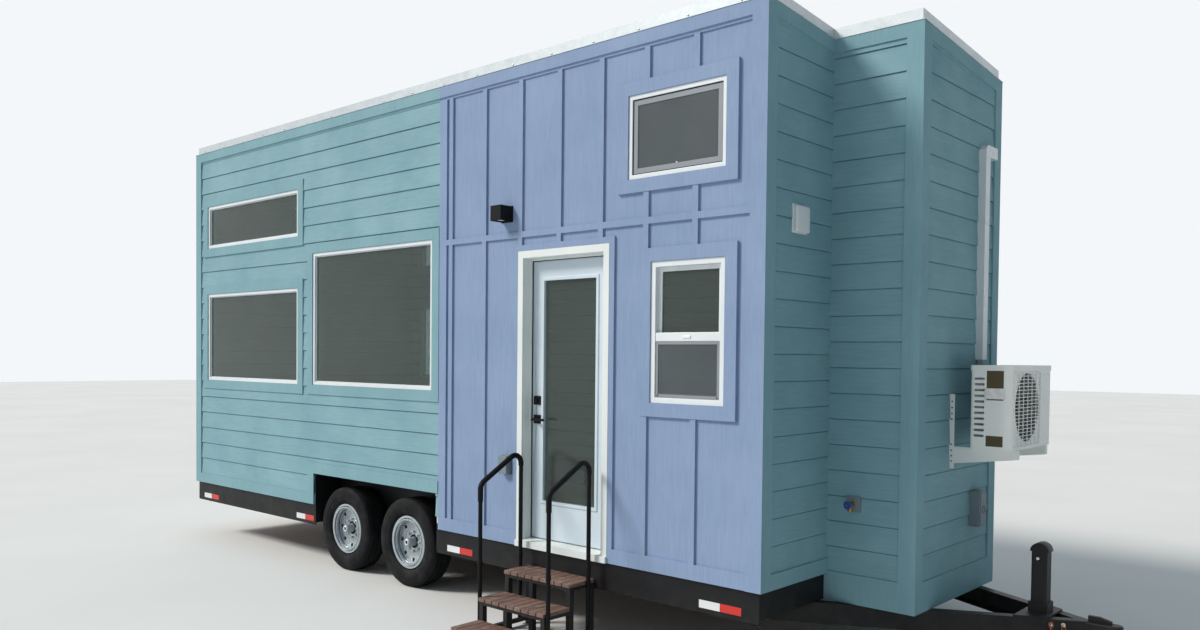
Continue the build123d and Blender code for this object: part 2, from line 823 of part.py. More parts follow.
with BuildPart() as skirt_sides:
    for y_range in ((y_door, y_door + skirt_plate), (y_far - skirt_plate, y_far)):
        block((x_rear, well_rear), y_range, (skirt_bottom, siding_bottom))
        block((well_front, x_front), y_range, (skirt_bottom, siding_bottom))
save(skirt_sides, "skirt_sides")

with BuildPart() as skirt_ends:
    for x_range in ((x_rear, x_rear + skirt_plate), (x_front - skirt_plate, x_front)):
        block(x_range, (y_door + skirt_plate, y_far - skirt_plate), (frame_bottom, siding_bottom))
save(skirt_ends, "skirt_ends")

with BuildPart() as wheel_wells:
    for y_outer, inward in ((y_door, 1), (y_far, -1)):
        y_inner = y_outer + inward * well_depth
        block((well_rear, well_front), (y_outer, y_inner), (frame_bottom, well_top))
        block((well_rear + well_sheet, well_front - well_sheet), (y_outer, y_inner - inward * well_sheet),
              (frame_bottom, well_top - well_sheet), mode=Mode.SUBTRACT)
save(wheel_wells, "wheel_wells")

# Running gear: drop axles, leaf springs, hangers and equalisers
axle_z = tyre_radius - axle_drop
x_axles = {"front": x_front - wheels_from_front + wheel_spacing / 2,
           "rear": x_front - wheels_from_front - wheel_spacing / 2}
rim_inset = tyre_inset + (tyre_width - rim_width) / 2
disc_at = rim_inset + disc_dish
drum_end = disc_at + rim_plate + drum_depth
arm_at = tyre_inset + tyre_width + arm_gap
seat_top = axle_z + axle_tube / 2 + spring_seat
with BuildPart() as axles:
    for x in x_axles.values():
        with Locations(along_y(x, y_mid, axle_z)):
            Cylinder(axle_tube / 2, body_width - 2 * arm_at)
        for y_side, inward in ((y_door, 1), (y_far, -1)):
            arm_plane = side_face(y_side + inward * arm_at)
            with BuildSketch(arm_plane):
                with Locations((x, (axle_z + tyre_radius) / 2)):
                    SlotCenterToCenter(axle_drop, 2 * (axle_tube / 2), rotation=90)
            extrude(amount=-inward * arm_thickness)
            with BuildSketch(arm_plane):
                with Locations((x, tyre_radius)):
                    Circle(arm_half)
            extrude(amount=inward * (arm_at - drum_end - backing_gap - backing_plate))
            with BuildSketch(side_face(y_side + inward * (drum_end + backing_gap))):
                with Locations((x, tyre_radius)):
                    Circle(drum_radius)
            extrude(amount=-inward * backing_plate)
            with BuildSketch(arm_plane):
                with Locations((x, tyre_radius)):
                    Circle(spindle_radius)
            extrude(amount=inward * (arm_at - disc_at - hub_cap_reach / 2))
        for y in y_rails:
            block((x - axle_tube / 2, x + axle_tube / 2), (y - spring_width / 2, y + spring_width / 2),
                  (axle_z, seat_top))
save(axles, "axles")

leaf_low = seat_top + (spring_leaves - 1) * spring_leaf
eye_z = leaf_low + spring_leaf / 2 + spring_camber
with BuildPart() as leaf_springs:
    for x in x_axles.values():
        for y in y_rails:
            with BuildSketch(side_face(y - spring_width / 2)):
                for n in range(spring_leaves):
                    half = spring_half - n * leaf_step
                    rise = spring_camber * (half / spring_half) ** 2
                    low = leaf_low - n * spring_leaf
                    with BuildLine():
                        under = ThreePointArc((x - half, low + rise), (x, low), (x + half, low + rise))
                        over = ThreePointArc((x - half, low + rise + spring_leaf), (x, low + spring_leaf),
                                             (x + half, low + rise + spring_leaf))
                        Line(under @ 0, over @ 0)
                        Line(under @ 1, over @ 1)
                    make_face()
                with Locations((x - spring_half, eye_z), (x + spring_half, eye_z)):
                    Circle(eye_radius)
                    Circle(bolt_radius + running_gap, mode=Mode.SUBTRACT)
            extrude(amount=-spring_width)
save(leaf_springs, "leaf_springs")

x_equaliser = (x_axles["front"] + x_axles["rear"]) / 2
eye_apart = wheel_spacing - 2 * spring_half
cheek_low = eye_z - eye_radius - running_gap


def hanger(x, y, half_gap):
    """Two cheeks under a plate, with the bolt that holds a spring eye or the equaliser, in the open part."""
    outer = half_gap + hanger_plate
    for side in (-1, 1):
        with BuildSketch(side_face(y + side * half_gap)) as cheek:
            Polygon((x - hanger_half, frame_bottom), (x + hanger_half, frame_bottom),
                    (x + eye_radius, cheek_low), (x - eye_radius, cheek_low), align=None)
        extrude(cheek.sketch, amount=-side * hanger_plate)
    block(about(x, hanger_half), about(y, outer), (frame_bottom - hanger_plate, frame_bottom))
    with Locations(along_y(x, y, eye_z)):
        Cylinder(bolt_radius, 2 * (outer + bolt_reach))


with BuildPart() as spring_hangers:
    for y in y_rails:
        hanger(x_axles["front"] + spring_half, y, spring_width / 2 + running_gap)
        hanger(x_axles["rear"] - spring_half, y, spring_width / 2 + running_gap)
        hanger(x_equaliser, y, spring_width / 2 + hanger_plate + 2 * running_gap)
save(spring_hangers, "spring_hangers")

with BuildPart() as equalisers:
    for y in y_rails:
        for side in (-1, 1):
            with BuildSketch(side_face(y + side * (spring_width / 2 + running_gap))):
                with Locations((x_equaliser, eye_z)):
                    SlotCenterToCenter(eye_apart, 2 * eye_radius)
                    Circle(bolt_radius + running_gap, mode=Mode.SUBTRACT)
            extrude(amount=-side * hanger_plate)
        for x in (x_equaliser - eye_apart / 2, x_equaliser + eye_apart / 2):
            with Locations(along_y(x, y, eye_z)):
                Cylinder(bolt_radius, spring_width + 2 * hanger_plate)
save(equalisers, "equalisers")


# Wheels: the tyre, and the steel wheel with its hub, drum, grease cap and nuts
def tyre(x, y_centre):
    """A radial tyre, round so that it can roll."""
    half = tyre_width / 2
    bead_low = tyre_radius + bead_radius
    bead_top = tyre_radius + rim_radius + bead_fit
    wall_widest = tyre_radius + sidewall_radius
    shoulder = tyre_radius + shoulder_radius
    y_left, y_right = about(y_centre, bead_half)
    with BuildPart() as ring:
        with BuildSketch(end_face(x)) as section:
            with BuildLine():
                Polyline((y_left, bead_top), (y_left, bead_low), (y_right, bead_low), (y_right, bead_top))
                right = ThreePointArc((y_right, bead_top), (y_centre + half, wall_widest),
                                      (y_centre + tread_half, shoulder))
                left = ThreePointArc((y_left, bead_top), (y_centre - half, wall_widest),
                                     (y_centre - tread_half, shoulder))
                ThreePointArc(left @ 1, (y_centre, 2 * tyre_radius), right @ 1)
            make_face()
        revolve(section.sketch, axis=Axis((x, y_centre, tyre_radius), (0, 1, 0)))
    return ring


def road_wheel(x, y_face, inward):
    """Steel wheel: rim, dished disc with hand holes, hub, brake drum, grease cap and nuts."""
    rim_low = bead_radius - running_gap
    rim_inside = bead_radius - rim_plate
    bore = spindle_radius + running_gap
    lip_foot = rim_lip + rim_taper
    disc_back = disc_dish + rim_plate
    profile = ((0, rim_radius), (rim_lip, rim_radius), (lip_foot, rim_low), (rim_width - lip_foot, rim_low),
               (rim_width - rim_lip, rim_radius), (rim_width, rim_radius), (rim_width, rim_inside),
               (disc_back, rim_inside), (disc_back, bore), (disc_dish, bore), (disc_dish, disc_flat),
               (disc_dish - rim_plate, disc_edge), (disc_dish - rim_plate, rim_inside), (0, bead_radius))
    y_disc = y_face + inward * disc_dish
    with BuildPart() as wheel:
        with BuildSketch(end_face(x)) as section:
            Polygon(*[(y_face + inward * across, tyre_radius + out) for across, out in profile], align=None)
        revolve(section.sketch, axis=Axis((x, y_face, tyre_radius), (0, 1, 0)))
        with BuildSketch(side_face(y_disc)) as drum:
            with Locations((x, tyre_radius)):
                Circle(drum_radius)
                Circle(drum_radius - rim_plate, mode=Mode.SUBTRACT)
                Circle(hub_radius)
        extrude(drum.sketch, amount=-inward * drum_depth)
        with Locations(along_y(x, y_disc, tyre_radius)):
            with PolarLocations(hand_hole_circle, hand_hole_count):
                Cylinder(hand_hole_radius, rim_width, mode=Mode.SUBTRACT)
            with PolarLocations(lug_circle / 2, lug_count):
                Cylinder(lug_radius, 2 * lug_height)
            Cylinder(hub_cap_radius, 2 * hub_cap_reach)
            Cylinder(bore, 2 * spindle_reach, mode=Mode.SUBTRACT)
        with Locations(along_y(x, y_disc - inward * spindle_reach, tyre_radius)):
            Cylinder(hub_cap_radius, 2 * (hub_cap_reach - spindle_reach))
        with Locations(along_y(x, y_disc + inward * drum_depth, tyre_radius)):
            Cylinder(bore, 2 * drum_depth, mode=Mode.SUBTRACT)
    return wheel


for end, x in x_axles.items():
    for side, y_face, inward in (("right", y_door + tyre_inset, 1), ("left", y_far - tyre_inset, -1)):
        save(tyre(x, y_face + inward * tyre_width / 2), f"tyre_{end}_{side}")
        save(road_wheel(x, y_face + inward * (tyre_width - rim_width) / 2, inward), f"wheel_{end}_{side}")

# Tongue: the A-frame's two channels, coupler and safety chains
tongue_bottom = frame_bottom - tongue_depth
x_apex = x_front + tongue_apex
x_tail = x_front - tongue_tail
x_nose = x_apex - tongue_nose
slope = math.tan(math.radians(tongue_angle))
half_cut = tongue_width / 2 / math.cos(math.radians(tongue_angle))


def beam_line(x):
    """Distance of a channel's centre line from the middle of the house, at a place along it."""
    return (x_apex - x) * slope


def tongue_beam(side):
    """One channel of the tongue, open on its inner face and cut off at the centre line."""
    inner_face = half_cut + tongue_web
    outline = ((x_apex, 0), (x_apex, half_cut), (x_tail, beam_line(x_tail) + half_cut),
               (x_tail, beam_line(x_tail) - half_cut), (x_apex - half_cut / slope, 0))
    web_face = half_cut - tongue_web
    hollow = ((x_nose, beam_line(x_nose) + web_face), (x_tail, beam_line(x_tail) + web_face),
              (x_tail, beam_line(x_tail) - inner_face), (x_nose, beam_line(x_nose) - inner_face))
    with BuildPart() as beam:
        with BuildSketch(Plane.XY.offset(tongue_bottom)):
            Polygon(*[(x, y_mid + side * y) for x, y in outline], align=None)
        extrude(amount=tongue_depth)
        with BuildSketch(Plane.XY.offset(tongue_bottom + tongue_web)):
            Polygon(*[(x, y_mid + side * y) for x, y in hollow], align=None)
        extrude(amount=tongue_depth - 2 * tongue_web, mode=Mode.SUBTRACT)
    return beam


save(tongue_beam(1), "tongue_beam_left")
save(tongue_beam(-1), "tongue_beam_right")

coupler_low = frame_bottom - coupler_height
x_ball = x_tip - ball_from_tip
with BuildPart() as coupler:
    with BuildSketch(Plane.XY.offset(coupler_low)):
        with BuildLine():
            nose = ThreePointArc((x_tip - coupler_width / 2, y_mid - coupler_width / 2), (x_tip, y_mid),
                                 (x_tip - coupler_width / 2, y_mid + coupler_width / 2))
            Polyline(nose @ 1, (x_apex, y_mid + half_cut), (x_apex, y_mid - half_cut), nose @ 0)
        make_face()
    extrude(amount=coupler_height)
    fillet(coupler.edges().group_by(Axis.Z)[-1].filter_by(GeomType.CIRCLE), coupler_round)
    latch_top = frame_bottom + latch_height
    latch_back = x_ball - latch_length
    with BuildSketch(side_face(y_mid - latch_width / 2)):
        Polygon((x_ball, frame_bottom), (x_ball, frame_bottom + latch_height / 2),
                (x_ball - latch_length / 2, latch_top), (latch_back, latch_top), (latch_back, frame_bottom),
                align=None)
    extrude(amount=-latch_width)
    with Locations((x_ball, y_mid, coupler_low)):
        Cylinder(ball_radius, ball_depth, align=(C, C, LOW), mode=Mode.SUBTRACT)
    with Locations((x_ball, y_mid, coupler_low + ball_depth)):
        Sphere(ball_radius, mode=Mode.SUBTRACT)
save(coupler, "coupler")

chain_x = x_front + chain_from_front
with BuildPart() as safety_chains:
    for side in (-1, 1):
        turn = math.radians(tongue_angle)
        y_outside = y_mid + side * (beam_line(chain_x) + half_cut)
        origin = (chain_x + chain_stand_off * math.sin(turn),
                  y_outside + side * chain_stand_off * math.cos(turn), frame_bottom - chain_below_top)
        loop_plane = Plane(origin=origin, x_dir=(math.cos(turn), -side * math.sin(turn), 0),
                           z_dir=(-side * math.sin(turn), -math.cos(turn), 0))
        with BuildLine(loop_plane) as loop:
            FilletPolyline((0, 0), (0, -chain_drop), (chain_span / 2, -chain_drop - chain_span / 2),
                           (chain_span, -chain_drop), (chain_span, 0), radius=chain_bend)
        with BuildSketch(Plane(origin=origin, z_dir=(0, 0, -1))) as link_section:
            Circle(chain_radius)
        sweep(link_section.sketch, path=loop.line)
        with BuildSketch(loop_plane) as eye_bolts:
            with Locations((0, 0), (chain_span, 0)):
                Circle(eye_bolt_radius)
        extrude(eye_bolts.sketch, amount=side * chain_stand_off)
        extrude(eye_bolts.sketch, amount=-side * eye_bolt_radius)
save(safety_chains, "safety_chains")

# Tongue jack: the fixed tube on its plate, the leg that slides in it, and the crank
x_jack = x_front + jack_from_front
tube_half = jack_tube_size / 2
collar_size = jack_tube_size + 2 * jack_collar
leg_size = jack_tube_size - 2 * (jack_tube_wall + jack_clearance)
leg_corner = jack_corner - jack_tube_wall - jack_clearance
with BuildPart() as jack_tube:
    with BuildSketch(Plane.XY.offset(frame_bottom)):
        plate_ends = (x_jack + jack_plate_half, x_jack - jack_plate_half)
        near_edge = [(x, y_mid - beam_line(x) - half_cut) for x in plate_ends]
        far_edge = [(x, y_mid + beam_line(x) + half_cut) for x in reversed(plate_ends)]
        Polygon(*near_edge, *far_edge, align=None)
    extrude(amount=jack_plate)
    with Locations((x_jack, y_mid, frame_bottom + jack_plate)):
        Box(collar_size, collar_size, jack_collar_height, align=(C, C, LOW))
    with BuildSketch(Plane.XY.offset(jack_tube_bottom)):
        with Locations((x_jack, y_mid)):
            RectangleRounded(jack_tube_size, jack_tube_size, jack_corner)
    extrude(amount=jack_top - jack_tube_bottom)
    with BuildSketch(side_face(y_mid - tube_half)):
        with Locations((x_jack, jack_top)):
            Circle(jack_dome)
            Rectangle(2 * jack_dome, jack_dome, align=(C, HIGH), mode=Mode.SUBTRACT)
    extrude(amount=-jack_tube_size)
    with BuildSketch(Plane.XY.offset(jack_tube_bottom)):
        with Locations((x_jack, y_mid)):
            RectangleRounded(jack_tube_size - 2 * jack_tube_wall, jack_tube_size - 2 * jack_tube_wall,
                             jack_corner - jack_tube_wall)
    extrude(amount=jack_top - jack_tube_bottom - jack_tube_wall, mode=Mode.SUBTRACT)
    with Locations(along_y(x_jack, y_mid, crank_height)):
        Cylinder(crank_shaft_radius + running_gap, 2 * jack_tube_size, mode=Mode.SUBTRACT)
save(jack_tube, "jack_tube")

with BuildPart() as jack_leg:
    with BuildSketch():
        with Locations((x_jack, y_mid)):
            RectangleRounded(jack_foot_size, jack_foot_size, jack_corner)
    extrude(amount=jack_foot_plate)
    with BuildSketch(Plane.XY.offset(jack_foot_plate)):
        with Locations((x_jack, y_mid)):
            RectangleRounded(leg_size, leg_size, leg_corner)
            Rectangle(leg_size - 2 * jack_leg_wall, leg_size - 2 * jack_leg_wall, mode=Mode.SUBTRACT)
    extrude(amount=jack_leg_top - jack_foot_plate)
save(jack_leg, "jack_leg")

with BuildPart() as jack_crank:
    shaft_start = y_mid - tube_half - crank_stub
    arm_y = y_mid + tube_half + crank_clear
    arm_outer = arm_y + crank_plate
    with Locations(along_y(x_jack, (shaft_start + arm_outer) / 2, crank_height)):
        Cylinder(crank_shaft_radius, arm_outer - shaft_start)
    with BuildSketch(side_face(arm_y)):
        with Locations((x_jack, crank_height - crank_arm / 2)):
            SlotCenterToCenter(crank_arm, crank_arm_width, rotation=90)
    extrude(amount=-crank_plate)
    with Locations(along_y(x_jack, arm_outer + crank_grip_length / 2, crank_height - crank_arm)):
        Cylinder(crank_grip_radius, crank_grip_length)
save(jack_crank, "jack_crank")

# Entry steps: slatted treads, their frame, and two bent handrails with grips
tread_levels = [(top_tread - n * tread_rise, y_door - n * tread_going) for n in range(tread_count)]
board_pitch = (tread_width - tread_board) / (tread_boards - 1)
steps_left = door_x - tread_width / 2
leg_lows = (steps_left, steps_left + inner_leg_at * tread_width, steps_left + tread_width - leg)
with BuildPart() as step_treads:
    for z_top, y_back in tread_levels:
        for n in range(tread_boards):
            x_low = steps_left + n * board_pitch
            block((x_low, x_low + tread_board), (y_back - tread_depth, y_back),
                  (z_top - tread_thickness, z_top))
save(step_treads, "step_treads")

with BuildPart() as step_frame:
    for z_top, y_back in tread_levels:
        z_under = z_top - tread_thickness
        bearers = (z_under - bearer, z_under)
        y_front_leg = y_back - tread_depth + leg_setback
        across = (steps_left, steps_left + tread_width)
        for x_low in leg_lows:
            block((x_low, x_low + leg), (y_front_leg, y_front_leg + leg), (0, z_under))
            block((x_low, x_low + leg), (y_front_leg, y_back), bearers)
        block(across, (y_front_leg, y_front_leg + leg), bearers)
        block(across, (y_back - leg, y_back), bearers)
    y_steps_front = tread_levels[-1][1] - tread_depth + leg_setback
    for x_low in (leg_lows[0], leg_lows[-1]):
        block((x_low, x_low + leg), (y_door - leg, y_door), (0, top_tread - tread_thickness))
        block((x_low, x_low + leg), (y_steps_front, y_door), (runner_low, runner_low + bearer))
save(step_frame, "step_frame")


def bent_bar(x, radius, z_front, z_back):
    """A round bar up, over and down again beside the treads, added to the open part."""
    with BuildLine() as line:
        FilletPolyline((x, y_door - rail_front_y, z_front), (x, y_door - rail_front_y, rail_front_bend),
                       (x, y_door - rail_back_y, rail_back_bend), (x, y_door - rail_back_y, z_back),
                       radius=rail_bend_radius)
    with BuildSketch(Plane.XY.offset(z_front)) as section:
        with Locations((x, y_door - rail_front_y)):
            Circle(radius)
    sweep(section.sketch, path=line.line)


with BuildPart() as step_rails:
    for side in (-1, 1):
        x_rail = door_x + side * (tread_width / 2 + rail_tube + running_gap)
        bent_bar(x_rail, rail_tube, rail_foot, rail_foot)
        bent_bar(x_rail, rail_grip, grip_low_front, grip_low_back)
save(step_rails, "step_rails")

# Cooling unit: case with lid and side slots, fan, guard and wall brackets
ac_y = y_bump_near + ac_from_bump_edge
ac_x = x_bump + ac_stand_off
ac_front = ac_x + ac_depth
ac_top = ac_bottom + ac_height
ac_middle = (ac_x + ac_depth / 2, ac_y + ac_width / 2)
fan_x = ac_x + ac_depth * fan_at
fan_y = ac_y + fan_from_side
fan_z = ac_bottom + ac_height / 2
motor_front = fan_x - blade_chord / 2 * math.sin(math.radians(blade_pitch)) - blade_clear
with BuildPart() as ac_case:
    with BuildSketch(Plane.XY.offset(ac_bottom)):
        with Locations(ac_middle):
            RectangleRounded(ac_depth, ac_width, ac_corner)
    extrude(amount=ac_height)
    with BuildSketch(Plane.XY.offset(ac_top - ac_lid_height)):
        with Locations(ac_middle):
            RectangleRounded(ac_depth + 2 * ac_lid, ac_width + 2 * ac_lid, ac_corner)
    extrude(amount=ac_lid_height)
    with BuildSketch(Plane.XY.offset(ac_bottom + ac_sheet)):
        with Locations(ac_middle):
            RectangleRounded(ac_depth - 2 * ac_sheet, ac_width - 2 * ac_sheet, ac_corner - ac_sheet)
    extrude(amount=ac_height - 2 * ac_sheet, mode=Mode.SUBTRACT)
    with Locations(along_x(ac_front, fan_y, fan_z)):
        Cylinder(fan_radius + blade_clear, 4 * ac_sheet, mode=Mode.SUBTRACT)
    for n in range(slot_count):
        z_slot = fan_z + (n - (slot_count - 1) / 2) * slot_spacing
        slot_x = ac_x + slot_from_back
        block((slot_x, slot_x + slot_length), about(ac_y, 2 * ac_sheet), about(z_slot, slot_height / 2),
              mode=Mode.SUBTRACT)
    block((motor_front - motor_depth, motor_front - motor_depth / 2), about(fan_y, motor_strut / 2),
          (ac_bottom + ac_sheet, ac_top - ac_sheet))
    with Locations(along_x(motor_front, fan_y, fan_z)):
        Cylinder(motor_radius, motor_depth, align=(C, C, HIGH))
        Cylinder(fan_shaft_radius, fan_x + fan_depth - motor_front, align=(C, C, LOW))
save(ac_case, "ac_case")

with BuildPart() as ac_fan:
    with Locations(along_x(fan_x, fan_y, fan_z)):
        Cylinder(fan_hub_radius, fan_depth)
    for n in range(fan_blades):
        turn = math.radians(n * 360 / fan_blades)
        pitch = math.radians(blade_pitch)
        outward = (0, math.cos(turn), math.sin(turn))
        chord = (math.sin(pitch), -math.sin(turn) * math.cos(pitch), math.cos(turn) * math.cos(pitch))
        blade_plane = Plane(origin=(fan_x, fan_y, fan_z), x_dir=chord, z_dir=outward)
        with BuildSketch(blade_plane.offset(fan_hub_radius / 2)):
            Rectangle(blade_chord, blade_thickness)
        extrude(amount=fan_radius - blade_clear - fan_hub_radius / 2)
    with Locations(along_x(fan_x, fan_y, fan_z)):
        Cylinder(fan_shaft_radius + running_gap, 2 * fan_depth, mode=Mode.SUBTRACT)
save(ac_fan, "ac_fan")

guard_width = 2 * (fan_from_side - grille_margin)
guard_low = ac_bottom + grille_margin
guard_height = ac_top - ac_lid_height - grille_rim - guard_low
with BuildPart() as ac_grille:
    with BuildSketch(end_face(ac_front)):
        with Locations((fan_y, guard_low + guard_height / 2)):
            Rectangle(guard_width, guard_height)
            Rectangle(guard_width - 2 * grille_rim, guard_height - 2 * grille_rim, mode=Mode.SUBTRACT)
            with GridLocations(grille_pitch, 0, int(guard_width / grille_pitch), 1):
                Rectangle(grille_bar, guard_height)
            with GridLocations(0, grille_pitch, 1, int(guard_height / grille_pitch)):
                Rectangle(guard_width, grille_bar)
    extrude(amount=grille_depth)
save(ac_grille, "ac_grille")

bracket_outline = ((0, -bracket_below), (bracket_bar, -bracket_below), (bracket_bar, -bracket_root),
                   (bracket_arm, -bracket_tip), (bracket_arm, 0), (bracket_bar, 0),
                   (bracket_bar, bracket_above), (0, bracket_above))
hollow_ends = (bracket_bar + bracket_plate, bracket_arm - bracket_plate)
bracket_hollow = ((hollow_ends[0], -bracket_plate), (hollow_ends[0], 2 * bracket_plate - bracket_root),
                  (hollow_ends[1], bracket_plate - bracket_tip), (hollow_ends[1], -bracket_plate))
with BuildPart() as ac_brackets:
    for y in (ac_y + near_bracket, ac_y + ac_width - far_bracket):
        with BuildSketch(side_face(y - bracket_width / 2)) as side_outline:
            Polygon(*[(x_bump + out, ac_bottom + up) for out, up in bracket_outline], align=None)
        extrude(side_outline.sketch, amount=-bracket_width)
        with BuildSketch(side_face(y - bracket_width / 2 + bracket_plate)) as side_hollow:
            Polygon(*[(x_bump + out, ac_bottom + up) for out, up in bracket_hollow], align=None)
        extrude(side_hollow.sketch, amount=-bracket_width, mode=Mode.SUBTRACT)
save(ac_brackets, "ac_brackets")

duct_y = y_bump_near + duct_from_bump_edge
duct_side = duct_width / 2
with BuildPart() as line_cover:
    with BuildSketch(end_face(x_bump)):
        Polygon((duct_y - duct_side, duct_bottom), (duct_y + duct_side, duct_bottom),
                (duct_y + duct_side, duct_top - duct_width), (duct_y + duct_elbow, duct_top - duct_width),
                (duct_y + duct_elbow, duct_top), (duct_y - duct_side + duct_round, duct_top),
                (duct_y - duct_side, duct_top - duct_round), align=None)
    extrude(amount=duct_depth)
    with Locations((x_bump + duct_depth / 2, duct_y, duct_bottom)):
        Cylinder(pipe_radius, duct_bottom - pipe_bottom, align=(C, C, HIGH))
save(line_cover, "line_cover")

# Small fittings
with BuildPart() as electrical_boxes:
    disconnect_y = y_bump_near + disconnect_from_bump_edge
    disconnect_z = disconnect_bottom + disconnect_height / 2
    with BuildSketch(end_face(x_bump)):
        with Locations((disconnect_y, disconnect_z)):
            Rectangle(disconnect_width, disconnect_height)
    extrude(amount=disconnect_depth)
    with BuildSketch(end_face(x_bump + disconnect_depth)):
        with Locations((disconnect_y, disconnect_z)):
            Rectangle(disconnect_width - 2 * box_lip, disconnect_height - 2 * box_lip)
    extrude(amount=box_lip)
    with BuildSketch(side_face(y_door)):
        with Locations((x_front - outlet_from_front, outlet_bottom)):
            Rectangle(outlet_width, outlet_height, align=(C, LOW))
    extrude(amount=outlet_depth, taper=box_taper)
save(electrical_boxes, "electrical_boxes")

with BuildPart() as porch_light:
    with BuildSketch(side_face(y_door)):
        with Locations((x_front - light_from_front, light_height)):
            Rectangle(light_plate, light_plate)
    extrude(amount=light_plate_depth)
    with BuildSketch(side_face(y_door - light_plate_depth)):
        with Locations((x_front - light_from_front, light_height)):
            Rectangle(light_size, light_size)
    extrude(amount=light_size)
    with Locations((x_front - light_from_front, y_door - light_plate_depth - light_size / 2,
                    light_height - light_size / 2)):
        Box(light_size - 2 * light_shade, light_size - 2 * light_shade, light_recess, align=(C, C, LOW),
            mode=Mode.SUBTRACT)
save(porch_light, "porch_light")

with BuildPart() as vent_hood:
    with BuildSketch(side_face(y_door + vent_from_side)):
        Polygon((x_front, vent_bottom), (x_front + vent_depth, vent_bottom),
                (x_front + vent_depth, vent_bottom + vent_lip),
                (x_front + vent_brow, vent_bottom + vent_size), (x_front, vent_bottom + vent_size),
                align=None)
    extrude(amount=-vent_size)
save(vent_hood, "vent_hood")

x_bib = x_front + bib_from_front
bib_face = y_bump_near - bib_block_depth
y_outlet = bib_face - bib_outlet_reach
y_bib_handle = bib_face - bib_handle_reach
with BuildPart() as hose_bib:
    with BuildSketch(side_face(y_bump_near)):
        with Locations((x_bib, bib_height)):
            Rectangle(bib_block, bib_block)
    extrude(amount=bib_block_depth)
    with Locations(along_y(x_bib, bib_face, bib_height)):
        Cylinder(bib_body_radius, bib_body_reach, align=(C, C, LOW))
        Cylinder(bib_stem_radius, bib_handle_reach + bib_handle_depth / 2 + bib_stem_end, align=(C, C, LOW))
    with Locations((x_bib, y_outlet, bib_height)):
        Cylinder(bib_neck_radius, bib_outlet_drop, align=(C, C, HIGH))
    with Locations((x_bib, y_outlet, bib_height - bib_outlet_drop)):
        Cylinder(bib_thread_radius, bib_thread_length, align=(C, C, LOW))
save(hose_bib, "hose_bib")

with BuildPart() as bib_handle:
    with Locations(along_y(x_bib, y_bib_handle, bib_height)):
        Cylinder(bib_handle_radius, bib_handle_depth)
        Cylinder(bib_stem_radius + running_gap, 2 * bib_handle_depth, mode=Mode.SUBTRACT)
save(bib_handle, "bib_handle")
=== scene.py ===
"""Looks of a tiny house on a tandem-axle trailer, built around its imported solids.

The tongue points to +X and the entry door is in the -Y wall. Lengths are in metres, apart from the
finishes' patterns and the edges' softness, which are in millimetres.
"""

from __future__ import annotations

import json
import logging
import math
from collections.abc import Callable, Sequence
from dataclasses import dataclass, field
from enum import Enum

import bmesh
import bpy
from mathutils import Matrix, Vector

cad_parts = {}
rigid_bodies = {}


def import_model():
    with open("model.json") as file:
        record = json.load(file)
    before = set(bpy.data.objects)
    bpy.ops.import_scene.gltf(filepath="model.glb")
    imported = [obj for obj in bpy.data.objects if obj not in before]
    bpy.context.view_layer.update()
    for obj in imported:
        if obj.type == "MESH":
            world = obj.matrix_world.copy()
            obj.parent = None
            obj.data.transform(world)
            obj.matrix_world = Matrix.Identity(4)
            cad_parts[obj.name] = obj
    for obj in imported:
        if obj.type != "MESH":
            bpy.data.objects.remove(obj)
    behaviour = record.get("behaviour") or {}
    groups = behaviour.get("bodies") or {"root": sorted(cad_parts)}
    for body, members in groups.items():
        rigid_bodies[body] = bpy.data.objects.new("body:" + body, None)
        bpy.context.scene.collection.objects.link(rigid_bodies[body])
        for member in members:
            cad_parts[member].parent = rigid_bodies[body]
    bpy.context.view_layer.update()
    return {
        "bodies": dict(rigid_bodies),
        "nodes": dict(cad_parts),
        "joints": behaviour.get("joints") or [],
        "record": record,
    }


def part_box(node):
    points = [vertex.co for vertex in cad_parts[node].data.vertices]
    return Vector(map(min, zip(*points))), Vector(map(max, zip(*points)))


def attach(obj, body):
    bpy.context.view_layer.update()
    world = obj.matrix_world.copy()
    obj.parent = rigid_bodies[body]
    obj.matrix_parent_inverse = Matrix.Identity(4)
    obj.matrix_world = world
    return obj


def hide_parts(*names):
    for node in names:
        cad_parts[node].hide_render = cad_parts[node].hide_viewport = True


log = logging.getLogger("tiny_house")

MM = 0.001


class Side(Enum):
    """A long side of the house, by the sign of its outward Y."""

    DOOR = -1
    FAR = 1


class End(Enum):
    """An axle of the trailer."""

    FRONT = "front"
    REAR = "rear"


class Axis(Enum):
    """A direction that a round piece turns about."""

    X = (1.0, 0.0, 0.0)
    Y = (0.0, 1.0, 0.0)
    Z = (0.0, 0.0, 1.0)


# Modelling, as by hand


def only(piece: bpy.types.Object) -> None:
    """Makes a piece the only one selected, and the active one."""
    if bpy.context.object and bpy.context.object.mode != "OBJECT":
        bpy.ops.object.mode_set(mode="OBJECT")
    bpy.ops.object.select_all(action="DESELECT")
    piece.select_set(True)
    bpy.context.view_layer.objects.active = piece


def settle(piece: bpy.types.Object, name: str) -> bpy.types.Object:
    """Names a piece and puts its place into its mesh.

    Args:
        piece: The new object.
        name: The name it gets.

    Returns:
        The same object, at the origin.
    """
    only(piece)
    piece.name = name
    bpy.ops.object.transform_apply(location=True, rotation=True, scale=True)
    return piece


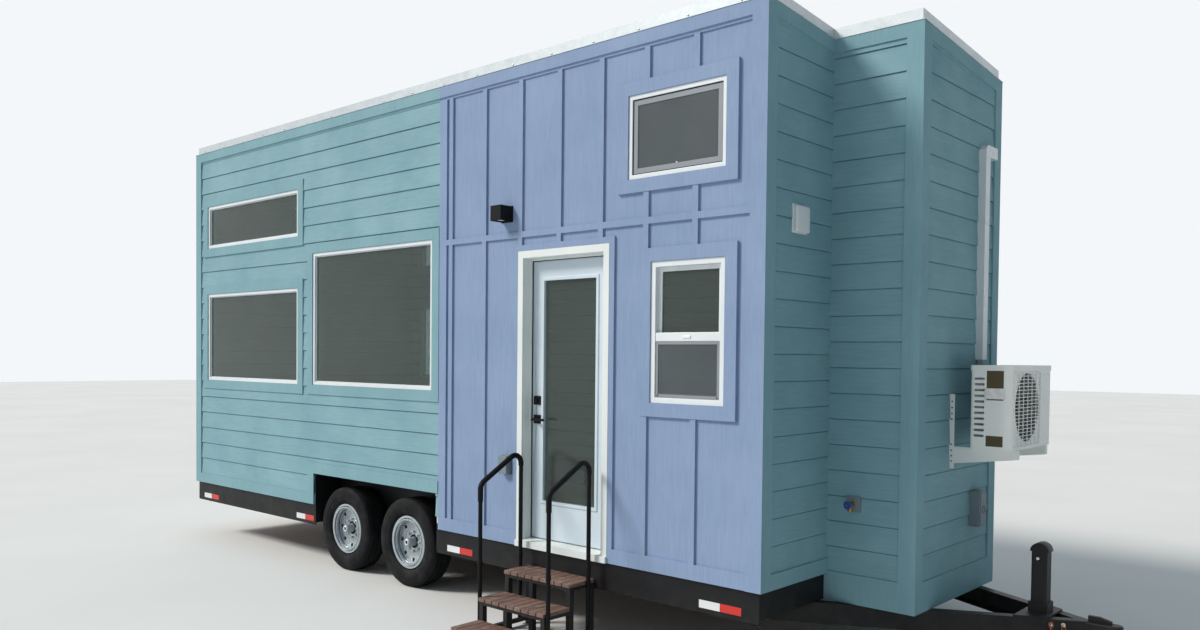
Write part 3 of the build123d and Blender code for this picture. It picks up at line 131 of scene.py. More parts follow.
def shape(piece: bpy.types.Object, kind: str, **settings: object) -> bpy.types.Object:
    """Adds a modifier with its settings and applies it.

    Args:
        piece: The object to change.
        kind: Blender's name of the modifier.
        settings: The modifier's own settings.

    Returns:
        The same object.
    """
    only(piece)
    modifier = piece.modifiers.new(kind.title(), kind)
    for key, value in settings.items():
        setattr(modifier, key, value)
    bpy.ops.object.modifier_apply(modifier=modifier.name)
    return piece


def bevel(piece: bpy.types.Object, width: float, segments: int = 2, angle: float = 30.0) -> bpy.types.Object:
    """Rounds the edges sharper than an angle in degrees, by a width in metres."""
    return shape(piece, "BEVEL", width=width, segments=segments, limit_method="ANGLE",
                 angle_limit=math.radians(angle), use_clamp_overlap=True)


def smooth(piece: bpy.types.Object, angle: float = 35.0) -> bpy.types.Object:
    """Shades a piece smooth, apart from edges sharper than an angle in degrees."""
    only(piece)
    bpy.ops.object.shade_smooth_by_angle(angle=math.radians(angle))
    return piece


def move(piece: bpy.types.Object, place: Matrix) -> bpy.types.Object:
    """Moves a piece and puts the move into its mesh."""
    piece.matrix_world = place @ piece.matrix_world
    return settle(piece, piece.name)


def block(name: str, low: Sequence[float], high: Sequence[float], edge: float = 0.0,
          segments: int = 2) -> bpy.types.Object:
    """A straight-sided piece between two corners.

    Args:
        name: The piece's name.
        low: Its lowest corner.
        high: Its highest corner.
        edge: How far its edges are rounded, in metres.
        segments: How many facets round each edge.

    Returns:
        The new object.
    """
    bpy.ops.mesh.primitive_cube_add(size=1.0, location=[(a + b) / 2 for a, b in zip(low, high)])
    made = bpy.context.object
    made.scale = [abs(b - a) for a, b in zip(low, high)]
    settle(made, name)
    return bevel(made, edge, segments) if edge else made


def rod(name: str, start: Sequence[float], end: Sequence[float], radius: float, sides: int = 20,
        edge: float = 0.0) -> bpy.types.Object:
    """A round bar from one point to another.

    Args:
        name: The piece's name.
        start: The middle of one end.
        end: The middle of the other.
        radius: Its radius in metres.
        sides: How many facets it has round it.
        edge: How far its ends are rounded, in metres.

    Returns:
        The new object.
    """
    line = Vector(end) - Vector(start)
    bpy.ops.mesh.primitive_cylinder_add(vertices=sides, radius=radius, depth=line.length,
                                        location=(Vector(start) + Vector(end)) / 2,
                                        rotation=line.to_track_quat("Z", "Y").to_euler())
    made = settle(bpy.context.object, name)
    if edge:
        bevel(made, edge, 2)
    return smooth(made)


def drawn(name: str, points: Sequence[Sequence[float]], closed: bool) -> bpy.types.Object:
    """A line of vertices, drawn one after another and left in edit mode, all selected."""
    bpy.ops.mesh.primitive_plane_add(size=0.01, location=(0, 0, 0), enter_editmode=True)
    made = bpy.context.object
    made.name = name
    bpy.ops.mesh.merge(type="CENTER")
    route = [Vector(p) for p in points]
    bpy.ops.transform.translate(value=route[0])
    if closed:
        route.append(route[0])
    for before, after in zip(route, route[1:]):
        bpy.ops.mesh.extrude_vertices_move(TRANSFORM_OT_translate={"value": after - before})
    bpy.ops.mesh.select_all(action="SELECT")
    bpy.ops.mesh.remove_doubles(threshold=0.00001)
    return made


def plate(name: str, points: Sequence[Sequence[float]], depth: Sequence[float],
          edge: float = 0.0) -> bpy.types.Object:
    """A flat piece: its outline is drawn, filled and extruded.

    Args:
        name: The piece's name.
        points: The corners of its outline, in order.
        depth: The vector that it is extruded by.
        edge: How far its edges are rounded, in metres.

    Returns:
        The new object.
    """
    made = drawn(name, points, closed=True)
    bpy.ops.mesh.edge_face_add()
    bpy.ops.mesh.extrude_region_move(TRANSFORM_OT_translate={"value": Vector(depth)})
    bpy.ops.mesh.select_all(action="SELECT")
    bpy.ops.mesh.normals_make_consistent(inside=False)
    bpy.ops.object.mode_set(mode="OBJECT")
    return bevel(made, edge) if edge else made


def ring(name: str, width: float, height: float, border: float, front: float, back: float,
         edge: float = 0.0) -> bpy.types.Object:
    """A rectangular frame that faces -Y, its middle above the origin's place.

    Args:
        name: The piece's name.
        width: Its size along X.
        height: Its size along Z.
        border: How wide each of its sides is.
        front: Its front face's Y.
        back: Its back face's Y.
        edge: How far its edges are rounded, in metres.

    Returns:
        The new object.
    """
    bpy.ops.mesh.primitive_plane_add(size=1.0, rotation=(math.pi / 2, 0, 0), location=(0, front, 0))
    made = bpy.context.object
    made.scale = (width, height, 1)
    settle(made, name)
    bpy.ops.object.mode_set(mode="EDIT")
    bpy.ops.mesh.select_all(action="SELECT")
    bpy.ops.mesh.inset(thickness=border)
    bpy.ops.mesh.delete(type="FACE")
    bpy.ops.mesh.select_all(action="SELECT")
    bpy.ops.mesh.extrude_region_move(TRANSFORM_OT_translate={"value": (0, back - front, 0)})
    bpy.ops.mesh.select_all(action="SELECT")
    bpy.ops.mesh.normals_make_consistent(inside=False)
    bpy.ops.object.mode_set(mode="OBJECT")
    return bevel(made, edge) if edge else made


def soften(node: bpy.types.Object, width: float, segments: int = 2) -> None:
    """Rounds a CAD node's edges with modifiers, leaving its mesh as it is."""
    weld = node.modifiers.new("Weld", "WELD")
    weld.merge_threshold = 0.0001
    rounded = node.modifiers.new("Bevel", "BEVEL")
    rounded.width = width
    rounded.segments = segments
    rounded.limit_method = "ANGLE"
    rounded.angle_limit = math.radians(40)
    rounded.harden_normals = True


def turned(name: str, profile: Sequence[tuple[float, float]], centre: Sequence[float], axis: Axis,
           steps: int = 48) -> bpy.types.Object:
    """A round piece, spun about an axis.

    Args:
        name: The piece's name.
        profile: Its (radius, along) points, measured from the centre along the axis.
        centre: The point that the profile is measured from.
        axis: What it is spun about.
        steps: How many facets it has round it.

    Returns:
        The new object.
    """
    along = Vector(axis.value)
    out = Vector((0, 0, 1)) if axis is not Axis.Z else Vector((1, 0, 0))
    middle = Vector(centre)
    made = drawn(name, [middle + out * r + along * a for r, a in profile], closed=profile[0] == profile[-1])
    bpy.ops.mesh.spin(steps=steps, angle=2 * math.pi, center=middle, axis=along)
    bpy.ops.mesh.select_all(action="SELECT")
    bpy.ops.mesh.remove_doubles(threshold=0.00001)
    bpy.ops.mesh.normals_make_consistent(inside=False)
    bpy.ops.object.mode_set(mode="OBJECT")
    return smooth(made, 40)


def join(name: str, pieces: Sequence[bpy.types.Object]) -> bpy.types.Object:
    """Joins pieces into one, with a new name."""
    only(pieces[0])
    for piece in pieces:
        piece.select_set(True)
    bpy.ops.object.join()
    made = bpy.context.object
    made.name = name
    return made


def cut(piece: bpy.types.Object, cutter: bpy.types.Object) -> bpy.types.Object:
    """Cuts a closed piece out of another, and throws the cutter away."""
    shape(piece, "BOOLEAN", object=cutter, operation="DIFFERENCE", solver="EXACT")
    bpy.data.objects.remove(cutter)
    return piece


def trim_above(piece: bpy.types.Object, point: Sequence[float], normal: Sequence[float]) -> bpy.types.Object:
    """Cuts off what lies beyond a plane and closes the cut."""
    only(piece)
    bpy.ops.object.mode_set(mode="EDIT")
    bpy.ops.mesh.select_all(action="SELECT")
    bpy.ops.mesh.bisect(plane_co=point, plane_no=normal, use_fill=True, clear_outer=True)
    bpy.ops.object.mode_set(mode="OBJECT")
    return piece


def nudge(piece: bpy.types.Object, chosen: Callable[[Vector], bool],
          offset: Sequence[float]) -> bpy.types.Object:
    """Moves the vertices that a test picks by their place."""
    only(piece)
    bpy.ops.object.mode_set(mode="EDIT")
    bpy.ops.mesh.select_all(action="DESELECT")
    bpy.ops.mesh.select_mode(type="VERT")
    mesh = bmesh.from_edit_mesh(piece.data)
    for vertex in mesh.verts:
        vertex.select = chosen(vertex.co)
    mesh.select_flush_mode()
    bmesh.update_edit_mesh(piece.data)
    bpy.ops.transform.translate(value=offset)
    bpy.ops.object.mode_set(mode="OBJECT")
    return piece


def copied(piece: bpy.types.Object, name: str, place: Matrix) -> bpy.types.Object:
    """A copy of a piece with a mesh of its own, put somewhere else."""
    only(piece)
    bpy.ops.object.duplicate()
    made = bpy.context.object
    made.matrix_world = place @ made.matrix_world
    return settle(made, name)


# Finishes


def linear(code: str, alpha: float = 1.0) -> tuple[float, float, float, float]:
    """A colour written as sRGB hex, as Blender's linear values."""
    values = [int(code[i:i + 2], 16) / 255 for i in (1, 3, 5)]
    turned_linear = [v / 12.92 if v <= 0.04045 else ((v + 0.055) / 1.055) ** 2.4 for v in values]
    return (*turned_linear, alpha)


def add(tree: bpy.types.NodeTree, kind: str, inputs: dict[object, object] | None = None,
        **settings: object) -> bpy.types.Node:
    """Adds a shader node.

    Args:
        tree: The material's node tree.
        kind: The node's type, without its ShaderNode prefix.
        inputs: What each input gets, by its name or number: a value, or another node's output.
        settings: The node's own settings.

    Returns:
        The new node.
    """
    made = tree.nodes.new(f"ShaderNode{kind}")
    for key, value in settings.items():
        setattr(made, key, value)
    for key, value in (inputs or {}).items():
        if isinstance(value, bpy.types.NodeSocket):
            tree.links.new(value, made.inputs[key])
        else:
            made.inputs[key].default_value = value
    return made


@dataclass(frozen=True)
class Coating:
    """Anything that a piece can be given all over: a named material."""

    name: str

    def surface(self, tree: bpy.types.NodeTree) -> bpy.types.NodeSocket:
        """Builds the shader in a node tree."""
        raise NotImplementedError

    def make(self) -> bpy.types.Material:
        """Builds the material, or gives the one that was built before."""
        if self.name in bpy.data.materials:
            return bpy.data.materials[self.name]
        made = bpy.data.materials.new(self.name)
        made.use_nodes = True
        tree = made.node_tree
        tree.nodes.remove(tree.nodes["Principled BSDF"])
        tree.links.new(self.surface(tree), tree.nodes["Material Output"].inputs["Surface"])
        return made


@dataclass(frozen=True)
class Finish(Coating):
    """A surface: its colour, how that drifts in patches, its sheen and its fine relief.

    Lengths are in millimetres on the real thing.
    """

    colour: str
    drift: str
    patch: float = 500.0
    roughness: float = 0.5
    spread: float = 0.08
    metallic: float = 0.0
    relief: float = 4.0
    height: float = 0.15
    stretch: tuple[float, float, float] = (1.0, 1.0, 1.0)
    ior: float = 1.5

    def place(self, tree: bpy.types.NodeTree, spacing: float, stretch: bool = True) -> bpy.types.NodeSocket:
        """Object coordinates in units of a real spacing."""
        scale = [f / (spacing * MM) for f in (self.stretch if stretch else (1.0, 1.0, 1.0))]
        where = add(tree, "TexCoord").outputs["Object"]
        return add(tree, "Mapping", {"Vector": where, "Scale": scale}).outputs["Vector"]

    def noise(self, tree: bpy.types.NodeTree, spacing: float, detail: float = 3.0,
              stretch: bool = True) -> bpy.types.NodeSocket:
        """Cloudy variation at a real spacing, from 0 to 1."""
        return add(tree, "TexNoise", {"Vector": self.place(tree, spacing, stretch), "Scale": 1.0,
                                      "Detail": detail, "Roughness": 0.55}).outputs["Fac"]

    def blend(self, tree: bpy.types.NodeTree, share: object, first: object, second: object,
              mode: str = "MIX") -> bpy.types.NodeSocket:
        """One colour turning into another by a share from 0 to 1."""
        return add(tree, "Mix", {0: share, 6: first, 7: second}, data_type="RGBA", blend_type=mode).outputs[2]

    def ramp(self, tree: bpy.types.NodeTree, value: bpy.types.NodeSocket, low: float,
             high: float, to_low: float = 0.0, to_high: float = 1.0) -> bpy.types.NodeSocket:
        """A value stretched from one range to another, and held inside it."""
        return add(tree, "MapRange", {"Value": value, "From Min": low, "From Max": high, "To Min": to_low,
                                      "To Max": to_high}).outputs["Result"]

    def shade(self, tree: bpy.types.NodeTree) -> bpy.types.NodeSocket:
        """The colour over the surface."""
        share = self.ramp(tree, self.noise(tree, self.patch, stretch=False), 0.35, 0.65)
        return self.blend(tree, share, linear(self.colour), linear(self.drift))

    def heights(self, tree: bpy.types.NodeTree) -> bpy.types.NodeSocket:
        """The fine relief, from 0 to 1."""
        return self.noise(tree, self.relief, 4.0)

    def surface(self, tree: bpy.types.NodeTree) -> bpy.types.NodeSocket:
        """Builds the surface's shader in a node tree."""
        gloss = self.ramp(tree, self.noise(tree, self.patch / 3, stretch=False), 0.3, 0.7,
                          self.roughness - self.spread, self.roughness + self.spread)
        bump = add(tree, "Bump", {
            "Height": self.heights(tree), "Distance": self.height * MM, "Strength": 1.0})
        shader = add(tree, "BsdfPrincipled", {
            "Base Color": self.shade(tree), "Roughness": gloss, "Metallic": self.metallic, "IOR": self.ior,
            "Normal": bump.outputs["Normal"]})
        return shader.outputs["BSDF"]


@dataclass(frozen=True)
class Split(Coating):
    """Two finishes on one piece: the second inside a box of real coordinates, the first outside it."""

    first: Finish
    second: Finish
    bounds: tuple[tuple[str, float, float], ...]

    def surface(self, tree: bpy.types.NodeTree) -> bpy.types.NodeSocket:
        """Mixes the two surfaces by place."""
        where = add(tree, "SeparateXYZ", {"Vector": add(tree, "TexCoord").outputs["Object"]})
        share = None
        for axis, low, high in self.bounds:
            above = add(tree, "Math", {0: where.outputs[axis], 1: low}, operation="GREATER_THAN").outputs[0]
            below = add(tree, "Math", {0: where.outputs[axis], 1: high}, operation="LESS_THAN").outputs[0]
            both = add(tree, "Math", {0: above, 1: below}, operation="MULTIPLY").outputs[0]
            if share is not None:
                both = add(tree, "Math", {0: share, 1: both}, operation="MULTIPLY").outputs[0]
            share = both
        surfaces = {0: share, 1: self.first.surface(tree), 2: self.second.surface(tree)}
        return add(tree, "MixShader", surfaces).outputs[0]


@dataclass(frozen=True)
class EmbossedBoard(Finish):
    """Fibre-cement board pressed with a cedar grain and painted: a soft, silky sheen over long grain."""

    relief: float = 26.0
    height: float = 0.38
    stretch: tuple[float, float, float] = (0.08, 0.08, 1.6)
    roughness: float = 0.64
    ior: float = 1.25
    course: float = 165.7
    # Painted shade: the colour that the pressed grain is darkened towards.
    shadow: str = "#4E5F6B"

    def shade(self, tree: bpy.types.NodeTree) -> bpy.types.NodeSocket:
        """Each course a little lighter or darker than the next, with faint grain darkened by painted shade.
        """
        base = Finish.shade(self, tree)
        where = add(tree, "SeparateXYZ", {"Vector": self.place(tree, self.course, False)}).outputs["Z"]
        row = add(tree, "Math", {0: where}, operation="FLOOR").outputs[0]
        lot = add(tree, "TexWhiteNoise", {"W": row}, noise_dimensions="1D").outputs["Value"]
        share = self.ramp(tree, lot, 0.0, 1.0, 0.0, 0.45)
        per_course = self.blend(tree, share, base, linear(self.drift))
        # Painted shade along the pressed grain, multiplied over the paint.
        grain = self.ramp(tree, self.noise(tree, self.relief / 2, 5.0), 0.35, 0.75, 0.0, 0.14)
        return self.blend(tree, grain, per_course, linear(self.shadow), "MULTIPLY")


@dataclass(frozen=True)
class UprightBoard(EmbossedBoard):
    """The same board with its grain upright, as on panels, battens and corner boards."""

    stretch: tuple[float, float, float] = (1.6, 1.6, 0.08)
    course: float = 4000.0


@dataclass(frozen=True)
class GalvanisedSheet(Finish):
    """Folded galvanised sheet: faint spangle, bright, with wrinkles along the fold."""

    metallic: float = 0.45
    roughness: float = 0.42
    relief: float = 420.0
    height: float = 1.2
    crystal: float = 22.0

    def shade(self, tree: bpy.types.NodeTree) -> bpy.types.NodeSocket:
        """Crystals of slightly different brightness."""
        cells = add(tree, "TexVoronoi", {"Vector": self.place(tree, self.crystal, False), "Scale": 1.0})
        share = add(tree, "SeparateXYZ", {"Vector": cells.outputs["Color"]}).outputs["X"]
        return self.blend(tree, share, linear(self.colour), linear(self.drift))


@dataclass(frozen=True)
class StainedBoard(Finish):
    """Softwood decking with a red-brown stain: dark grain lines, dry and matt, paler where feet rub."""

    relief: float = 7.0
    height: float = 0.5
    stretch: tuple[float, float, float] = (1.0, 0.04, 1.0)
    roughness: float = 0.62
    grain: float = 9.0
    rub: float = 70.0
    bare: str = "#A99A90"

    def shade(self, tree: bpy.types.NodeTree) -> bpy.types.NodeSocket:
        """Stain over grain lines along the board, rubbed in places."""
        lines = self.ramp(tree, self.noise(tree, self.grain, 6.0), 0.35, 0.62)
        stained = self.blend(tree, lines, linear(self.drift), linear(self.colour))
        rubbed = self.ramp(tree, self.noise(tree, self.rub, 5.0, False), 0.52, 0.72, 0.0, 0.55)
        return self.blend(tree, rubbed, stained, linear(self.bare))


@dataclass(frozen=True)
class PlankFloor(Finish):
    """Laminate planks: oak print with fine joints."""

    plank: float = 180.0
    joint: str = "#4A3A2C"

    def shade(self, tree: bpy.types.NodeTree) -> bpy.types.NodeSocket:
        """Planks laid along the house, each of its own shade."""
        boards = add(tree, "TexBrick", {
            "Vector": self.place(tree, self.plank, False), "Color1": linear(self.colour),
            "Color2": linear(self.drift), "Mortar": linear(self.joint), "Scale": 1.0,
            "Mortar Size": 0.008, "Brick Width": 7.0, "Row Height": 1.0})
        return boards.outputs["Color"]


@dataclass(frozen=True)
class GroovedWall(Finish):
    """Level boards or fins with a groove at the foot of each, darkened with painted shade."""

    board: float = 140.0
    # Painted shade: the colour put in each groove.
    groove_shade: str = "#77776F"

    def shade(self, tree: bpy.types.NodeTree) -> bpy.types.NodeSocket:
        """The boards' colour, with painted shade in the grooves."""
        return self.blend(tree, self.heights(tree), linear(self.groove_shade), Finish.shade(self, tree))

    def heights(self, tree: bpy.types.NodeTree) -> bpy.types.NodeSocket:
        """A narrow groove at the foot of each board, which also places the painted shade."""
        where = add(tree, "SeparateXYZ", {"Vector": self.place(tree, self.board, False)}).outputs["Z"]
        part = add(tree, "Math", {0: where}, operation="FRACT").outputs[0]
        return self.ramp(tree, part, 0.02, 0.06)


@dataclass(frozen=True)
class TreadRubber(Finish):
    """Tyre rubber: near black, with dust in a haze over the sidewall."""

    cloud: float = 90.0

    def shade(self, tree: bpy.types.NodeTree) -> bpy.types.NodeSocket:
        """Black rubber under a film of road dust."""
        dust = self.ramp(tree, self.noise(tree, self.cloud, 6.0, False), 0.45, 0.8, 0.05, 0.6)
        return self.blend(tree, dust, linear(self.colour), linear(self.drift))


@dataclass(frozen=True)
class RoadPaint(Finish):
    """Brushed-on chassis paint: satin black with pale dust thrown up low down."""

    low: float = 0.20
    high: float = 0.62
    cloud: float = 120.0
    dust: str = "#5B5650"

    def shade(self, tree: bpy.types.NodeTree) -> bpy.types.NodeSocket:
        """Dust thickest near the ground."""
        where = add(tree, "TexCoord").outputs["Object"]
        height = add(tree, "SeparateXYZ", {"Vector": where}).outputs["Z"]
        near_ground = self.ramp(tree, height, self.low, self.high, 0.22, 0.0)
        cloud = self.ramp(tree, self.noise(tree, self.cloud, 6.0, False), 0.35, 0.8)
        share = add(tree, "Math", {0: near_ground, 1: cloud}, operation="MULTIPLY").outputs[0]
        return self.blend(tree, share, Finish.shade(self, tree), linear(self.dust))


@dataclass(frozen=True)
class Glazing(Finish):
    """Float glass with a faint grey-green tint, clear and very smooth."""

    clearness: float = 0.9
    daylight: str = "#A8B2B0"

    def surface(self, tree: bpy.types.NodeTree) -> bpy.types.NodeSocket:
        """Clear glass with the slow waver of float glass; daylight passes it."""
        made = Finish.surface(self, tree)
        made.node.inputs["Transmission Weight"].default_value = self.clearness
        daylight = add(tree, "BsdfTransparent", {"Color": linear(self.daylight)}).outputs[0]
        shadow = add(tree, "LightPath").outputs["Is Shadow Ray"]
        return add(tree, "MixShader", {0: shadow, 1: made, 2: daylight}).outputs[0]


@dataclass(frozen=True)
class ScreenMesh(Finish):
    """Insect screen: grey fibre-glass threads with clear holes between them."""

    thread: float = 3.2

    def surface(self, tree: bpy.types.NodeTree) -> bpy.types.NodeSocket:
        """Threads both ways, the holes partly see-through."""
        made = Finish.surface(self, tree)
        where = add(tree, "SeparateXYZ", {"Vector": self.place(tree, self.thread, False)})
        parts = [add(tree, "Math", {0: where.outputs[axis]}, operation="FRACT").outputs[0] for axis in "XZ"]
        near = [self.ramp(tree, part, 0.30, 0.36) for part in parts]
        holes = add(tree, "Math", {0: near[0], 1: near[1]}, operation="MULTIPLY").outputs[0]
        tree.links.new(self.ramp(tree, holes, 0.0, 1.0, 0.85, 0.30), made.node.inputs["Alpha"])
        return made


@dataclass(frozen=True)
class ReflectiveTape(Finish):
    """Retro-reflective tape: a glossy film over small sealed cells."""

    cell: float = 9.0

    def heights(self, tree: bpy.types.NodeTree) -> bpy.types.NodeSocket:
        """The sealed walls between the cells."""
        cells = add(tree, "TexVoronoi", {
            "Vector": self.place(tree, self.cell, False), "Scale": 1.0, "Randomness": 0.0},
            feature="DISTANCE_TO_EDGE")
        return self.ramp(tree, cells.outputs["Distance"], 0.0, 0.12)


# Fibre-cement lap board under satin paint: the pressed grain catches light in long soft streaks, and is
# darkened with painted shade.
TEAL = EmbossedBoard("painted_lap_board_teal", "#8DB3BD", "#80A7B2")
# The same board and paint on corners, frieze and surrounds, with its grain upright.
TEAL_TRIM = UprightBoard("painted_trim_board_teal", "#8BB1BB", "#81A8B3")
# Fibre-cement panel and battens in lavender blue: flat fields with a fine upright grain.
PURPLE = UprightBoard("painted_panel_lavender", "#92A6C6", "#899EBF")
# Hot-dip galvanised sheet folded on site: pale, half shiny, wrinkled along its fold.
GALVANISED = GalvanisedSheet("galvanised_sheet_folded", "#C6CDD1", "#BEC6CB")
# Rolled aluminium-zinc roofing: duller and flatter than the flashing.
ROOF_SHEET = GalvanisedSheet(
    "aluminium_zinc_roof_sheet", "#B9C1C6", "#B3BBC0", height=1.0, roughness=0.45)
# Extruded PVC: a cool, even white with a soft broad highlight.
VINYL = Finish("white_vinyl_extruded", "#E6EBEE", "#DEE4E8", roughness=0.34, relief=2.0, height=0.03)
# Moulded fibreglass under sprayed paint: pale blue-white and smooth.
DOOR_SKIN = Finish("fibreglass_door_painted", "#CFDCE6", "#C6D4E0", roughness=0.38, relief=1.5, height=0.03)
# Brushed paint on primed softwood: a warmer, chalkier white than the vinyl beside it.
CASING_PAINT = Finish("primed_casing_painted", "#E6EBEA", "#DDE4E3", roughness=0.5, relief=3.0, height=0.08)
# Tinted float glass: grey-green, and dark from outside by day.
GLASS = Glazing(
    "float_glass_tinted", "#9EADA9", "#98A8A4", roughness=0.02, spread=0.01, relief=900.0, height=0.6,
    ior=1.27)
# Roll-formed aluminium painted grey: a thin matt line inside the vinyl.
SCREEN_FRAME = Finish("screen_frame_grey", "#8C949B", "#848C93", roughness=0.45, relief=1.5, height=0.02)
# Woven vinyl-coated fibre glass: a grey veil over the pane. Its threads are drawn 3.2 mm apart, coarser
# than the real 1.4 mm, so that they show.
SCREEN = ScreenMesh("insect_screen_fibre_glass", "#5D666B", "#555E63", roughness=0.7)
# Powder coat on mild steel: deep black with a faint satin line along each edge.
BLACK_METAL = Finish(
    "powder_coated_black", "#090A0C", "#0E0F12", roughness=0.5, relief=1.2, height=0.04, ior=1.25)
# Brushed chassis enamel: satin black that road dust greys low down.
FRAME_PAINT = RoadPaint(
    "chassis_paint_black", "#0F1013", "#16171B", roughness=0.5, relief=6.0, height=0.12, ior=1.32)
# The same enamel on the steps' frame, scuffed a little paler.
STEP_PAINT = RoadPaint(
    "step_paint_black", "#121317", "#17191C", roughness=0.5, relief=4.0, height=0.08, high=0.5, ior=1.38)
# Grease and brake dust on cast iron, nearly black; on the bore ring and the drum it is painted shade, so that
# the wheel's holes look deep.
HUB_BLACK_AND_SHADE = Finish(
    "greased_hub_black", "#0B0B0C", "#121110", roughness=0.6, patch=30.0, relief=2.0, height=0.1, ior=1.3)
# Turned steel: mid grey with a blurred highlight along the hub.
HUB_STEEL = Finish(
    "turned_hub_steel", "#A4ABAF", "#969DA1", metallic=0.35, roughness=0.42, patch=30.0, relief=1.0,
    height=0.02)
# Bright plating on the hub's face: a small clear ring.
CAP_CHROME = Finish(
    "hub_cap_bright", "#E4E7E8", "#D6DADC", metallic=0.6, roughness=0.25, patch=20.0, relief=2.0, height=0.02)
# Moulded rubber filled with carbon black: matt, with dust in clouds.
RUBBER = TreadRubber(
    "tyre_rubber_dusty", "#0C0D0F", "#313236", roughness=0.76, relief=2.0, height=0.15, ior=1.28)
# Baked silver paint on pressed steel: blue-grey with a soft metallic sheen.
SILVER = Finish(
    "silver_wheel_paint", "#B5BFC5", "#A9B3B9", metallic=0.55, roughness=0.36, patch=90.0, relief=1.0,
    height=0.02)
# Zinc plating on rolled steel: pale grey that glints in points.
ZINC = Finish(
    "zinc_plated_steel", "#C6C8C8", "#B2B5B6", metallic=0.8, roughness=0.34, patch=40.0, relief=2.0,
    height=0.03)
# Welded chain whose plating has gone: an orange-brown bloom over dull steel.
CHAIN_RUST = Finish(
    "rust_bloomed_chain", "#A5683F", "#6E4027", metallic=0.35, roughness=0.66, patch=14.0, relief=2.0,
    height=0.2)
# Planed decking under red-brown stain: dark lines along each board.
STAIN = StainedBoard("stained_decking_red_brown", "#8B6D60", "#54403A", patch=200.0)
# Baked enamel on pressed steel: a warm, smooth white.
ENAMEL = Finish(
    "baked_enamel_off_white", "#F0F2F0", "#EAEDEB", roughness=0.4, relief=1.5, height=0.03, patch=300.0)
# Moulded ABS bleached outdoors: a flat blue-grey.
GREY_PLASTIC = Finish("weathered_grey_plastic", "#7E8A90", "#73808A", roughness=0.55, relief=1.0, height=0.05)
# Moulded polypropylene: dull dark grey with weak highlights. It is also the painted shade behind the bracket
# legs' holes.
DARK_PLASTIC_AND_SHADE = Finish("dark_grey_plastic", "#3A4044", "#33393D", roughness=0.5, relief=1.0, height=0.05)
# Cast brass gone dull: brown-gold with a sandy skin.
BRASS = Finish(
    "cast_brass_dull", "#B08A45", "#8A6A33", metallic=0.9, roughness=0.42, patch=15.0, relief=1.5,
    height=0.08)
# Dipped enamel on a cast handle: strong blue and glossy.
BLUE = Finish(
    "enamelled_handle_blue", "#1F4FA8", "#1A448F", roughness=0.35, patch=30.0, relief=1.0, height=0.03)
# Coated aluminium fins: olive brown, with painted shade in the gap under each fin. They are drawn 14 mm
# apart, coarser than the real 2 mm, so that they show.
COIL = GroovedWall(
    "coil_fins_coated", "#564B30", "#463D26", board=14.0, groove_shade="#2A2415", roughness=0.7, height=2.0)
# Foam lagging wound in grey tape: soft folds without shine.
LAGGING = Finish(
    "taped_pipe_lagging_grey", "#A9AFB2", "#9BA2A6", roughness=0.6, relief=9.0, height=0.6, patch=60.0)
# Painted shiplap: off white, with painted shade in the groove under each board.
WALL_INSIDE = GroovedWall("painted_shiplap_indoors", "#DADAD4", "#D2D2CC", roughness=0.55, height=3.0)
# Printed oak laminate: mid brown planks with a satin face.
FLOOR = PlankFloor("oak_laminate_planks", "#8C6B4A", "#7A5A3C", roughness=0.42, relief=3.0, height=0.05)
# Moulded red acrylic: glossy and deep.
LAMP_RED = Finish(
    "lamp_lens_red", "#8E1512", "#7C110F", roughness=0.15, spread=0.03, relief=6.0, height=0.2)
# Reflective sheeting: clear colour under a gloss film. Its cells are drawn coarser than real ones.
TAPE_RED = ReflectiveTape("reflective_tape_red", "#D8322C", "#C92A26", roughness=0.22, height=0.1)
TAPE_WHITE = ReflectiveTape("reflective_tape_white", "#E8EBEC", "#DDE1E3", roughness=0.22, height=0.1)


def dress(piece: bpy.types.Object, finish: Coating) -> bpy.types.Object:
    """Gives a piece one finish all over."""
    piece.data.materials.clear()
    piece.data.materials.append(finish.make())
    return piece


# The house


@dataclass(frozen=True)
class Window:
    """A window's hole in a side wall, in metres back from the front wall."""

    from_front: float
    width: float
    sill: float
    height: float


